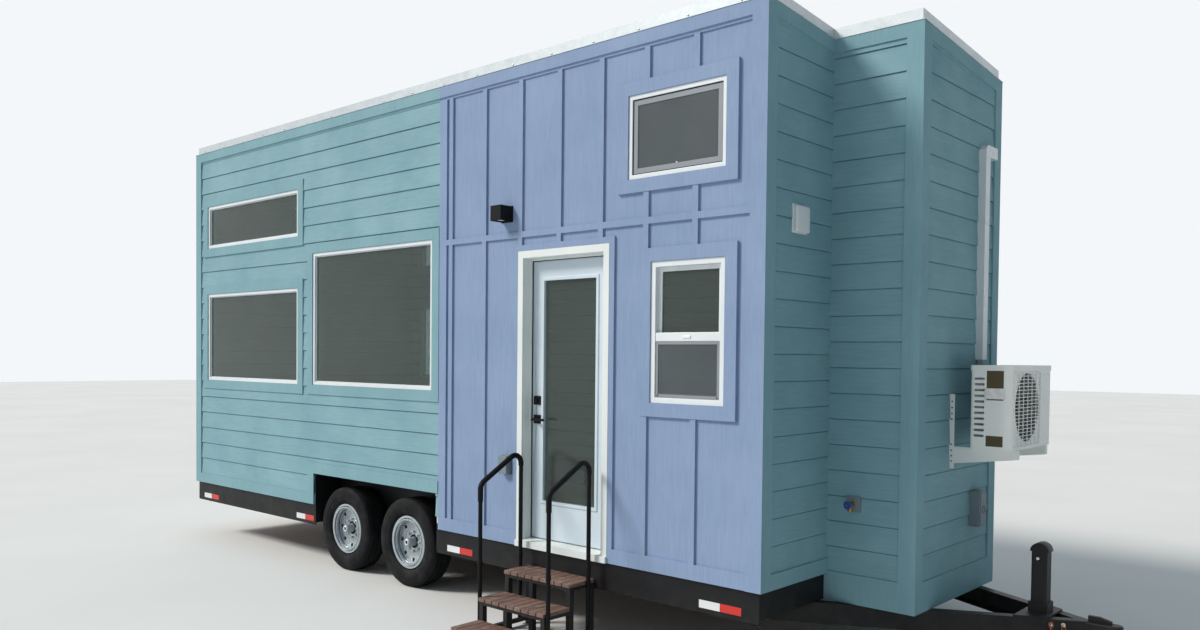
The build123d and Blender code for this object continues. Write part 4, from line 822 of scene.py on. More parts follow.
@dataclass
class House:
    """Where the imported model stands: its main planes, read from the CAD nodes."""

    roof_fall: float = 0.0775
    frieze_drop: float = 0.165
    panel_from_front: float = 3.005
    door_from_front: float = 1.645
    well_board: float = 0.1
    cut_reach: float = 0.2
    windows: dict[str, Window] = field(default_factory=lambda: {
        "upper_rear": Window(5.107, 1.788, 3.045, 0.440),
        "lower_rear": Window(5.107, 1.788, 1.653, 0.907),
        "picture": Window(3.094, 1.759, 1.656, 1.212),
        "upper_front": Window(0.268, 0.776, 3.108, 0.548),
        "far_upper_front": Window(0.268, 0.776, 3.045, 0.548),
        "lower_front": Window(0.264, 0.577, 1.648, 0.913),
    })

    def __post_init__(self) -> None:
        """Reads the planes from the nodes' boxes."""
        far_low, far_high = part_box("wall_far")
        self.x_rear, self.x_front, self.y_far = far_low.x, far_high.x, far_high.y
        self.y_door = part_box("wall_door_rear")[0].y
        self.y_mid = (self.y_door + self.y_far) / 2
        bump_low, bump_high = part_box("bumpout_end_wall")
        self.x_bump, self.y_near, self.y_off = bump_high.x, bump_low.y, bump_high.y
        self.roof_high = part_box("roof")[1].z
        self.siding_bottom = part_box("skirt_sides")[1].z
        self.well_low, self.well_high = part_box("wheel_wells")
        self.x_panel = self.x_front - self.panel_from_front
        self.door_x = self.x_front - self.door_from_front

    def face(self, side: Side) -> float:
        """The Y of a long wall's outer face."""
        return self.y_door if side is Side.DOOR else self.y_far

    def plane_under_frieze(self) -> tuple[tuple[float, float, float], tuple[float, float, float]]:
        """A point and normal of the sloping plane where siding ends."""
        return (0.0, self.y_door, self.roof_high - self.frieze_drop), (0.0, self.roof_fall, 1.0)

    def place(self, side: Side | None, key: str) -> Matrix:
        """Where a window that is modelled at the origin, facing -Y, stands in its wall."""
        w = self.windows[key]
        z = w.sill + w.height / 2
        if side is None:
            return Matrix.Translation((self.x_rear, self.y_mid, z)) @ Matrix.Rotation(-math.pi / 2, 4, "Z")
        x = self.x_front - w.from_front - w.width / 2
        turn = Matrix.Rotation(math.pi if side is Side.FAR else 0.0, 4, "Z")
        return Matrix.Translation((x, self.face(side), z)) @ turn

    def hole(self, side: Side | None, key: str) -> bpy.types.Object:
        """A cutter for one window; without a side it stands in the rear wall."""
        w, reach = self.windows[key], self.cut_reach
        made = block("cutter", (-w.width / 2, -reach, -w.height / 2), (w.width / 2, reach, w.height / 2))
        return move(made, self.place(side, key))

    def openings(self, side: Side, keys: Sequence[str]) -> list[bpy.types.Object]:
        """Cutters for a long wall's windows and for its wheel well."""
        made = [self.hole(side, key) for key in keys]
        y = self.face(side)
        if "lower_rear" in keys:
            top = self.well_high.z + self.well_board / 2
            made.append(block("cutter", (self.well_low.x, y - self.cut_reach, 0),
                              (self.well_high.x, y + self.cut_reach, top)))
        return made


@dataclass
class LapSiding:
    """Lap boards over the walls: each course laps the one below, and is cut round the windows."""

    house: House
    exposure: float = 0.1657
    butt: float = 0.0165
    tip: float = 0.0085
    gap: float = 0.006
    gap_floor: float = 0.001
    worn_edge: float = 0.0012
    base: float = 0.648
    bump_base: float = 0.566

    def run(self, name: str, start: tuple[float, float], end: tuple[float, float], out: tuple[int, int],
            z_from: float, cutters: Sequence[bpy.types.Object] = ()) -> bpy.types.Object:
        """One wall's siding: its stepped section is drawn and extruded along the wall.

        Args:
            name: The piece's name.
            start: Where it starts on the wall's face, as (x, y).
            end: Where it ends.
            out: The outward direction, as signs of x and y.
            z_from: Where the lowest course starts.
            cutters: Closed pieces to cut out of it.

        Returns:
            The finished siding of that wall.
        """
        x, y = start
        section = [(x, y, z_from)]
        for n in range(math.ceil((self.house.roof_high - z_from) / self.exposure)):
            low, high = z_from + n * self.exposure, z_from + (n + 1) * self.exposure
            for depth, z in ((self.butt, low), (self.tip, high - self.gap), (self.gap_floor, high - self.gap),
                             (self.gap_floor, high)):
                section.append((x + out[0] * depth, y + out[1] * depth, z))
        section.append((x, y, section[-1][2]))
        made = plate(name, section, (end[0] - x, end[1] - y, 0), self.worn_edge)
        trim_above(made, *self.house.plane_under_frieze())
        if cutters:
            cut(made, join("cutters", list(cutters)))
        return dress(made, TEAL)

    def build(self) -> list[bpy.types.Object]:
        """Sides every teal wall."""
        h = self.house
        door = h.openings(Side.DOOR, ("upper_rear", "lower_rear", "picture"))
        far = h.openings(Side.FAR, ("upper_rear", "lower_rear", "far_upper_front", "lower_front"))
        runs = (
            ("siding_door_side", (h.x_rear, h.y_door), (h.x_panel, h.y_door), (0, -1), self.base, door),
            ("siding_far_side", (h.x_rear, h.y_far), (h.x_front, h.y_far), (0, 1), self.base, far),
            ("siding_rear", (h.x_rear, h.y_door), (h.x_rear, h.y_far), (-1, 0), self.base,
             [h.hole(None, "upper_front")]),
            ("siding_front_near", (h.x_front, h.y_door), (h.x_front, h.y_near), (1, 0), self.base, ()),
            ("siding_front_far", (h.x_front, h.y_off), (h.x_front, h.y_far), (1, 0), self.base, ()),
            ("siding_bump_near", (h.x_front, h.y_near), (h.x_bump, h.y_near), (0, -1), self.bump_base, ()),
            ("siding_bump_far", (h.x_front, h.y_off), (h.x_bump, h.y_off), (0, 1), self.bump_base, ()),
            ("siding_bump_end", (h.x_bump, h.y_near), (h.x_bump, h.y_off), (1, 0), self.bump_base, ()),
        )
        return [self.run(*values) for values in runs]


@dataclass
class EntryBay:
    """The lavender bay of panels and battens round the entry door."""

    house: House
    sheet: float = 0.003
    casing_lap: float = 0.05
    doorway_half: float = 0.4

    def build(self) -> list[bpy.types.Object]:
        """Lays the panel sheet behind the battens."""
        h = self.house
        panel = block("bay_panel", (h.x_panel, h.y_door - self.sheet, h.siding_bottom),
                      (h.x_front, h.y_door, h.roof_high))
        trim_above(panel, *h.plane_under_frieze())
        door_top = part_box("door_frame")[1].z - self.casing_lap
        door = block("cutter", (h.door_x - self.doorway_half, h.y_door - h.cut_reach, 0),
                     (h.door_x + self.doorway_half, h.y_door + h.cut_reach, door_top))
        cut(panel, join("cutters", h.openings(Side.DOOR, ("upper_front", "lower_front")) + [door]))
        return [dress(panel, PURPLE)]


@dataclass
class Glazier:
    """The windows: vinyl frames with their glass, the sash window, and the insect screens."""

    house: House
    fixed: float = 0.029
    sash: float = 0.036
    front: float = -0.013
    back: float = 0.060
    edge: float = 0.002
    glass: float = 0.006
    bead: float = 0.008
    gasket: float = 0.006
    screen_depth: float = 0.009
    mesh: tuple[float, float] = (0.004, 0.0045)
    loft_border: float = 0.034
    sash_border: float = 0.030
    sash_depth: float = 0.018
    sash_screen_border: float = 0.022
    meeting: float = 0.400
    rail: float = 0.055

    def pane(self, width: float, height: float, y: float, z: float = 0.0) -> bpy.types.Object:
        """One sheet of glass."""
        low = (-width / 2, y, z - height / 2)
        return dress(block("glass", low, (width / 2, y + self.glass, z + height / 2)), GLASS)

    def screen(self, width: float, height: float, y: float, z: float,
               border: float) -> list[bpy.types.Object]:
        """An insect screen in its grey frame.

        Args:
            width: The frame's size along X.
            height: The frame's size along Z.
            y: Where its front is.
            z: Where its middle is.
            border: How wide each side of the frame is.

        Returns:
            The frame and the mesh.
        """
        frame = ring("screen_frame", width, height, border, y, y + self.screen_depth, 0.001)
        move(frame, Matrix.Translation((0, 0, z)))
        near, far = self.mesh
        mesh = block("screen_mesh", (-width / 2, y + near, z - height / 2),
                     (width / 2, y + far, z + height / 2))
        return [dress(frame, SCREEN_FRAME), dress(mesh, SCREEN)]

    def picture(self, w: Window) -> list[bpy.types.Object]:
        """A fixed window: a frame with a bead, and the glass."""
        frame = join("frame", [
            ring("outer", w.width, w.height, self.fixed, self.front, self.back, self.edge),
            ring("bead", w.width - 2 * self.fixed, w.height - 2 * self.fixed, self.bead,
                 self.front + 0.014, self.front + 0.030, self.edge)])
        dress(frame, VINYL)
        return [frame, self.pane(w.width - 2 * self.fixed, w.height - 2 * self.fixed, self.front + 0.022)]

    def awning(self, w: Window) -> list[bpy.types.Object]:
        """A small loft window: a frame with an insect screen in front of the glass."""
        width, height = w.width - 2 * self.fixed, w.height - 2 * self.fixed
        frame = ring("frame", w.width, w.height, self.fixed, self.front, self.back, self.edge)
        dress(frame, VINYL)
        gasket = dress(ring("gasket", width, height, self.gasket, self.front + 0.007, self.front + 0.020),
                       RUBBER)
        inside = width - 2 * self.gasket, height - 2 * self.gasket
        tab = dress(rod("pull_tab", (0, self.front + 0.009, 0.045 - height / 2),
                        (0, self.front + 0.014, 0.045 - height / 2), 0.005, 12), VINYL)
        return [frame, gasket, tab, self.pane(width, height, self.front + 0.034),
                *self.screen(*inside, self.front + 0.009, 0, self.loft_border)]

    def single_hung(self, w: Window) -> list[bpy.types.Object]:
        """A sash window: its lower sash in front with a screen, the upper one behind."""
        width = w.width - 2 * self.sash
        low, high = self.sash - w.height / 2, w.height / 2 - self.sash
        split, rail = self.meeting - w.height / 2, self.rail
        parts = [ring("frame", w.width, w.height, self.sash, self.front, self.back, self.edge)]
        for z_low, z_high, y in ((low, split + rail, self.front + 0.012), (split, high, self.front + 0.030)):
            sash = ring("sash", width, z_high - z_low, self.sash_border, y, y + self.sash_depth, self.edge)
            parts.append(move(sash, Matrix.Translation((0, 0, (z_low + z_high) / 2))))
        parts.append(block("meeting_rail", (-width / 2, self.front + 0.004, split),
                           (width / 2, self.front + 0.03, split + rail), self.edge))
        parts.append(block("latch", (-0.030, self.front - 0.0005, split + 0.016),
                           (0.030, self.front + 0.01, split + 0.034), 0.003))
        frame = dress(join("frame", parts), VINYL)
        lower = self.pane(width, split - low, self.front + 0.020, (low + split) / 2)
        upper = self.pane(width, high - split - rail, self.front + 0.038, (split + rail + high) / 2)
        latch_z = low + 0.014
        latches = [
            rod("tilt_latch", (x, self.front + 0.001, latch_z), (x, self.front + 0.008, latch_z), 0.004, 12)
            for x in (0.020 - width / 2, width / 2 - 0.020)]
        return [frame, lower, upper, dress(join("tilt_latches", latches), DARK_PLASTIC_AND_SHADE),
                *self.screen(width, split - low, self.front + 0.006, (low + split) / 2,
                             self.sash_screen_border)]

    def build(self) -> list[bpy.types.Object]:
        """Puts a window in each hole."""
        h = self.house
        makers = {"upper_rear": self.picture, "lower_rear": self.picture, "picture": self.picture,
                  "upper_front": self.awning, "far_upper_front": self.awning, "lower_front": self.single_hung}
        door_side = ("upper_rear", "lower_rear", "picture", "upper_front", "lower_front")
        far_side = ("upper_rear", "lower_rear", "far_upper_front", "lower_front")
        spots = [(Side.DOOR, key) for key in door_side]
        spots += [(Side.FAR, key) for key in far_side]
        spots.append((None, "upper_front"))
        made = []
        for side, key in spots:
            where = side.name.lower() if side else "rear"
            for piece in makers[key](h.windows[key]):
                move(piece, h.place(side, key))
                piece.name = f"window_{where}_{key}_{piece.name.split('.')[0]}"
                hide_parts("window_panes" if "glass" in piece.name else "window_frames")
                made.append(piece)
        return made


@dataclass
class Tyre:
    """A radial tyre with a grooved tread and a moulded sidewall."""

    radius: float = 0.372
    width: float = 0.222
    bead: float = 0.2035

    def build(self, name: str, centre: Vector) -> bpy.types.Object:
        """Spins the section: a tread with three grooves between two sidewalls.

        Args:
            name: The piece's name.
            centre: The middle of the wheel.

        Returns:
            The tyre.
        """
        r, w = self.radius, self.width / 2
        # Each rib's place as a share of the tread's half width, and its depth in millimetres.
        ribs = [(-0.86, 0), (-0.52, 0), (-0.52, 8), (-0.44, 8), (-0.44, 0), (-0.06, 0), (-0.06, 8),
                (0.06, 8), (0.06, 0), (0.44, 0), (0.44, 8), (0.52, 8), (0.52, 0), (0.86, 0)]
        tread = [(r - deep * MM - 0.005 * abs(at) ** 3, at * w * 0.9) for at, deep in ribs]
        # Each point's radius, and its place as a share of the tyre's half width.
        wall = [(0.3655, 0.82), (0.352, 0.93), (0.330, 0.985), (0.300, 1.0), (0.288, 0.997),
                (0.286, 0.975), (0.268, 0.955), (0.245, 0.87), (0.232, 0.74), (0.228, 0.66),
                (0.2245, 0.62), (self.bead, 0.60)]
        right = [(a, b * w) for a, b in wall]
        left = [(a, -b * w) for a, b in reversed(wall)]
        profile = left + tread + right
        tyre = turned(name, profile + [profile[0]], centre, Axis.Y, 96)
        return dress(tyre, RUBBER)


@dataclass
class RoadWheels:
    """Four tyres on silver steel wheels, with the steps of each rim, its nuts and its hub."""

    house: House
    disc_from_face: float = 0.1045
    rim_inside: float = 0.1953
    steps: tuple[tuple[float, float, float], ...] = (
        (0.034, 0.042, 0.186), (0.056, 0.074, 0.178), (0.088, 0.100, 0.181))
    nut_count: int = 8
    nut_circle: float = 0.08255
    nut_radius: float = 0.0135
    nut_height: float = 0.021
    hub_radius: float = 0.0348
    hub_reach: float = 0.076
    cap_radius: float = 0.027
    # The ring over the bore and the drum behind the disc are near-black painted shade round the hub and in
    # the hand holes.
    bore: float = 0.058
    bore_proud: float = 0.0012
    drum: float = 0.176
    drum_depth: float = 0.022
    drum_face: float = 0.008

    def trim(self, name: str, side: Side, centre: Vector) -> list[bpy.types.Object]:
        """The rim's steps, the nuts, the hub with its bright face and plug, and painted shade on a bore ring
        and brake drum.

        Args:
            name: The wheel's name.
            side: The side of the house that it is on.
            centre: The middle of the wheel.

        Returns:
            The pieces of that wheel.
        """
        face, inward = self.house.face(side), -side.value
        middle = Vector((centre.x, 0, centre.z))
        rings = []
        for start, end, inner in self.steps:
            a, b = face + inward * start, face + inward * end
            profile = [(self.rim_inside, a), (inner, a), (inner - 0.001, (a + b) / 2), (inner, b),
                       (self.rim_inside, b)]
            rings.append(turned("rim_step", profile + [profile[0]], middle, Axis.Y, 64))
        disc = face + inward * self.disc_from_face
        nuts = []
        for n in range(self.nut_count):
            turn = math.radians(360 * n / self.nut_count)
            spot = middle + Vector((math.cos(turn), 0, math.sin(turn))) * self.nut_circle
            out = Vector((0, disc - inward * self.nut_height, 0))
            nuts.append(rod("nut", spot + Vector((0, disc, 0)), spot + out, self.nut_radius, 6, 0.0015))
        tip = disc - inward * self.hub_reach
        r, face_r = self.hub_radius, self.cap_radius
        hub = turned("hub", [
            (r, disc), (r + 0.004, disc), (r + 0.003, tip + inward * 0.004), (r, tip), (0.013, tip),
            (0.013, tip + inward * 0.008), (r, tip + inward * 0.008), (r, disc)], middle, Axis.Y, 40)
        cap = turned("cap", [
            (0.014, tip), (face_r, tip), (face_r, tip - inward * 0.003),
            (face_r - 0.003, tip - inward * 0.006), (0.016, tip - inward * 0.004), (0.014, tip)],
            middle, Axis.Y, 40)
        near, far = disc - inward * self.bore_proud, disc + inward * self.drum_depth
        back = far + inward * self.drum_face
        # The plug is black rubber; the bore ring and the drum are painted shade.
        plug_and_shade = [
            rod("plug", middle + Vector((0, tip + inward * 0.006, 0)),
                middle + Vector((0, tip - inward * 0.001, 0)), 0.0145),
            turned("bore", [(r, disc), (self.bore, disc), (self.bore, near), (r, near), (r, disc)],
                   middle, Axis.Y, 40),
            turned("drum", [(self.bore, far), (self.drum, far), (self.drum, back), (self.bore, back),
                            (self.bore, far)], middle, Axis.Y, 48),
        ]
        return [dress(join(f"rim_steps_{name}", rings), SILVER),
                dress(join(f"wheel_nuts_{name}", nuts), ZINC),
                dress(hub, HUB_STEEL), dress(cap, CAP_CHROME),
                dress(join(f"hub_and_drum_{name}", plug_and_shade), HUB_BLACK_AND_SHADE)]

    def build(self) -> list[tuple[bpy.types.Object, str]]:
        """Puts a tyre and the wheel's trim on each hub."""
        made = []
        for end in End:
            for side, word in ((Side.DOOR, "right"), (Side.FAR, "left")):
                node = f"tyre_{end.value}_{word}"
                low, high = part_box(node)
                tyre = Tyre().build(f"tread_{end.value}_{word}", (low + high) / 2)
                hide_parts(node)
                made.append((tyre, f"{end.value}_{word}_wheel"))
                for piece in self.trim(f"{end.value}_{word}", side, (low + high) / 2):
                    made.append((piece, f"{end.value}_{word}_wheel"))
        return made


@dataclass
class Chains:
    """Safety chains of welded links, hanging in a loop from two eye bolts on each channel of the tongue."""

    house: House
    from_front: float = 1.25
    span: float = 0.070
    drop: float = 0.185
    stand_off: float = 0.020
    top: float = 0.345
    apex: float = 1.42
    angle: float = 27.5
    beam_half: float = 0.035
    pitch: float = 0.0245
    wire: float = 0.0042
    link_radius: float = 0.0105
    link_stretch: float = 0.006
    samples: int = 200

    def link(self) -> bpy.types.Object:
        """One long link, standing at the origin with its length along Z."""
        bpy.ops.mesh.primitive_torus_add(
            major_radius=self.link_radius, minor_radius=self.wire, major_segments=16, minor_segments=8,
            rotation=(math.pi / 2, 0, 0))
        made = settle(bpy.context.object, "link")
        nudge(made, lambda co: co.z > 0, (0, 0, self.link_stretch))
        nudge(made, lambda co: co.z < 0, (0, 0, -self.link_stretch))
        return smooth(made, 60)

    def outward(self, side: Side) -> Vector:
        """The level direction away from one channel of the tongue."""
        turn = math.radians(self.angle)
        return Vector((math.sin(turn), side.value * math.cos(turn), 0))

    def route(self, side: Side) -> list[Vector]:
        """The loop's centre line on one side, as closely spaced points."""
        turn = math.radians(self.angle)
        h, count = self.house, self.samples
        along = Vector((math.cos(turn), -side.value * math.sin(turn), 0))
        out = self.outward(side)
        x = h.x_front + self.from_front
        off = (self.apex - self.from_front) * math.tan(turn) + self.beam_half / math.cos(turn)
        start = Vector((x, h.y_mid + side.value * off, self.top)) + out * self.stand_off
        half = self.span / 2
        leg = self.drop - half
        loop = [(0.0, -leg * n / count) for n in range(count)]
        loop += [(half - half * math.cos(math.pi * n / count), -leg - half * math.sin(math.pi * n / count))
                 for n in range(count)]
        loop += [(self.span, -leg * (1 - n / (count - 1))) for n in range(count)]
        return [start + along * a + Vector((0, 0, b)) for a, b in loop]

    def bolt(self, side: Side, point: Vector) -> bpy.types.Object:
        """One eye bolt with its washer against the channel, where a chain's end hangs."""
        out = self.outward(side)
        root = point - out * self.stand_off
        bolt = rod("eye_bolt", root, point + out * 0.012, 0.006, 16, 0.001)
        washer = rod("washer", root, point - out * (self.stand_off - 0.004), 0.013, 24)
        return dress(join(f"chain_bolt_{side.name.lower()}", [bolt, washer]), ZINC)

    def build(self) -> list[bpy.types.Object]:
        """Strings the links along both loops."""
        made = []
        for side in Side:
            links = []
            first = self.link()
            points = self.route(side)
            since, due = 0.0, 0.0
            for before, after in zip(points, points[1:]):
                since += (after - before).length
                if since >= due:
                    due += self.pitch
                    lie = (after - before).to_track_quat("Z", "Y").to_matrix().to_4x4()
                    turn = Matrix.Rotation(math.pi / 2 * (len(links) % 2), 4, "Z")
                    links.append(copied(first, "link", Matrix.Translation(after) @ lie @ turn))
            bpy.data.objects.remove(first)
            chain = dress(join(f"chain_{side.name.lower()}", links), CHAIN_RUST)
            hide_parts("safety_chains")
            made.append(chain)
            made.extend(self.bolt(side, point) for point in (points[0], points[-1]))
        return made


@dataclass
class CoolingUnit:
    """The outdoor cooling unit's wire guard, service panel, coil, cover plates and bracket legs."""

    wires: tuple[float, float] = (0.0036, 0.0026)
    pitches: tuple[float, float] = (0.078, 0.0215)
    edge_wire: float = 0.0034
    coil: tuple[float, float, float, float] = (0.105, 0.211, 0.020, 0.506)
    plates: tuple[tuple[float, float, Finish], ...] = ((0.088, 0.311, ENAMEL), (0.318, 0.386, ZINC))
    panel_sides: tuple[float, float] = (0.215, 0.03)
    panel_ends: tuple[float, float] = (0.05, 0.06)
    bar_leg: float = 0.042
    bar_sheet: float = 0.0016
    bracket_spacing: float = 0.540
    holes: tuple[float, ...] = (0.045, 0.080, 0.115, 0.155, 0.318, 0.354, 0.393, 0.432)
    hole_radius: float = 0.0055
    hole_from_wall: float = 0.024

    def guard(self) -> bpy.types.Object:
        """Welded square wires over the fan, thicker along the edges, on four studs."""
        low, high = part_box("ac_grille")
        x = high.x - self.edge_wire
        bars = []
        for axis in (1, 2):
            other = 3 - axis
            count = int((high[axis] - low[axis]) / self.pitches[axis - 1])
            step = (high[axis] - low[axis]) / count
            for n in range(count + 1):
                start, end = Vector((x, 0, 0)), Vector((x, 0, 0))
                start[axis] = end[axis] = min(low[axis] + n * step, high[axis])
                start[other], end[other] = low[other], high[other]
                outer = n in (0, count)
                bars.append(rod("wire", start, end, self.edge_wire if outer else self.wires[axis - 1], 10))
        for y in (low.y, high.y):
            for z in (low.z + 0.05, high.z - 0.05):
                bars.append(rod("stud", (low.x, y, z), (x, y, z), 0.004, 12))
        guard = dress(join("wire_guard", bars), ENAMEL)
        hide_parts("ac_grille")
        return guard

    def build(self) -> list[bpy.types.Object]:
        """Makes every piece of the unit that the solids leave out."""
        return [self.guard(), *self.panels(), *self.legs()]

    def panels(self) -> list[bpy.types.Object]:
        """The recessed service panel, the coil in its window and the plates over it."""
        low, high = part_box("ac_case")
        made = []
        front = high.x - 0.004
        far, near = self.panel_sides
        foot, head = self.panel_ends
        panel = block("service_panel", (front - 0.001, high.y - far, low.z + foot),
                      (front + 0.0025, high.y - near, high.z - head), 0.002)
        made.append(dress(panel, ENAMEL))
        side = low.y + 0.004
        x_low, x_high, z_low, z_high = self.coil
        fins = block("coil_fins", (low.x + x_low, side - 0.0006, low.z + z_low),
                     (low.x + x_high, side + 0.004, low.z + z_high), 0.002)
        made.append(dress(fins, COIL))
        for n, (bottom, top, finish) in enumerate(self.plates):
            cover = block(f"coil_cover_{n}", (low.x + x_low - 0.012, side - 0.0022, low.z + bottom),
                          (low.x + x_high + 0.010, side + 0.001, low.z + top), 0.0012)
            made.append(dress(cover, finish))
        return made

    def legs(self) -> list[bpy.types.Object]:
        """The brackets' punched legs on the wall, and a strip of painted shade that shows through their
        holes.
        """
        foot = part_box("ac_brackets")[0]
        made = []
        for n in range(2):
            y = foot.y + n * self.bracket_spacing
            leg = block(f"bracket_leg_{n}", (foot.x, y - self.bar_sheet, foot.z),
                        (foot.x + self.bar_leg, y, foot.z + 0.48), 0.0005, 1)
            x = foot.x + self.hole_from_wall
            punched = [rod("hole", (x, y - 0.02, foot.z + z), (x, y + 0.02, foot.z + z), self.hole_radius, 12)
                       for z in self.holes]
            cut(leg, join("holes", punched))
            made.append(dress(leg, ENAMEL))
            # Painted shade: a dark strip just behind each leg, seen through its holes.
            shade_strip = block(f"bracket_shade_{n}", (foot.x + 0.015, y - 0.0004, foot.z + 0.03),
                           (foot.x + 0.033, y - 0.0001, foot.z + 0.45))
            made.append(dress(shade_strip, DARK_PLASTIC_AND_SHADE))
        return made


@dataclass
class RoofDress:
    """Low ribs over the roof sheet, and screws along its flashing."""

    house: House
    rib_pitch: float = 0.3
    rib_width: float = 0.020
    rib_height: float = 0.007
    lap: float = 0.075
    screw_pitch: float = 0.40
    screw_start: float = 0.15
    screw_drop: float = 0.052
    proud: float = 0.003

    def ribs(self) -> bpy.types.Object:
        """One rib is modelled and repeated along the roof, then laid on its slope."""
        h = self.house
        length = h.y_far - h.y_door - 2 * self.lap
        wide, tall = self.rib_width, self.rib_height
        section = [(-wide, 0, 0), (-wide / 2, 0, tall), (wide / 2, 0, tall), (wide, 0, 0)]
        rib = plate("roof_ribs", section, (0, length, 0))
        count = int((h.x_front - h.x_rear - 2 * self.lap) / self.rib_pitch)
        shape(rib, "ARRAY", count=count, use_relative_offset=False, use_constant_offset=True,
              constant_offset_displace=(self.rib_pitch, 0, 0))
        slope = Matrix.Rotation(-math.atan(h.roof_fall), 4, "X")
        start = Matrix.Translation((h.x_rear + self.lap + self.rib_pitch / 2, h.y_door + self.lap,
                                    h.roof_high - h.roof_fall * self.lap))
        return dress(move(rib, start @ slope), ROOF_SHEET)

    def head(self, x: float, y: float, out: tuple[int, int]) -> list[bpy.types.Object]:
        """One hexagon head on its washer, at the height of the sloping flashing there.

        Args:
            x: Where its foot stands along the house.
            y: Where its foot stands across the house.
            out: The outward direction, as signs of x and y.

        Returns:
            The head and the washer.
        """
        h = self.house
        z = h.roof_high - h.roof_fall * (y - h.y_door) - self.screw_drop
        made = []
        for name, tall, radius, sides, edge in (("screw", 0.0045, 0.0065, 6, 0.001),
                                                ("washer", 0.0012, 0.010, 16, 0.0)):
            end = (x + out[0] * tall, y + out[1] * tall, z)
            made.append(rod(name, (x, y, z), end, radius, sides, edge))
        return made

    def screws(self) -> bpy.types.Object:
        """Hexagon heads with washers along the flashing's faces."""
        h = self.house
        heads = []
        for side in Side:
            y = h.face(side) + side.value * self.proud
            count = int((h.x_front - h.x_rear) / self.screw_pitch)
            for n in range(count + 1):
                heads += self.head(h.x_rear + self.screw_start + n * self.screw_pitch, y, (0, side.value))
        ends = ((h.x_front, h.y_door, h.y_near, 1), (h.x_bump, h.y_near, h.y_off, 1),
                (h.x_front, h.y_off, h.y_far, 1), (h.x_rear, h.y_door, h.y_far, -1))
        for x, y_low, y_high, out in ends:
            count = max(int((y_high - y_low) / self.screw_pitch), 1)
            for n in range(count):
                y = y_low + (n + 0.5) * (y_high - y_low) / count
                heads += self.head(x + out * self.proud, y, (out, 0))
        return dress(join("flashing_screws", heads), ZINC)

    def build(self) -> list[bpy.types.Object]:
        """Lays the ribs and drives the screws."""
        return [self.ribs(), self.screws()]


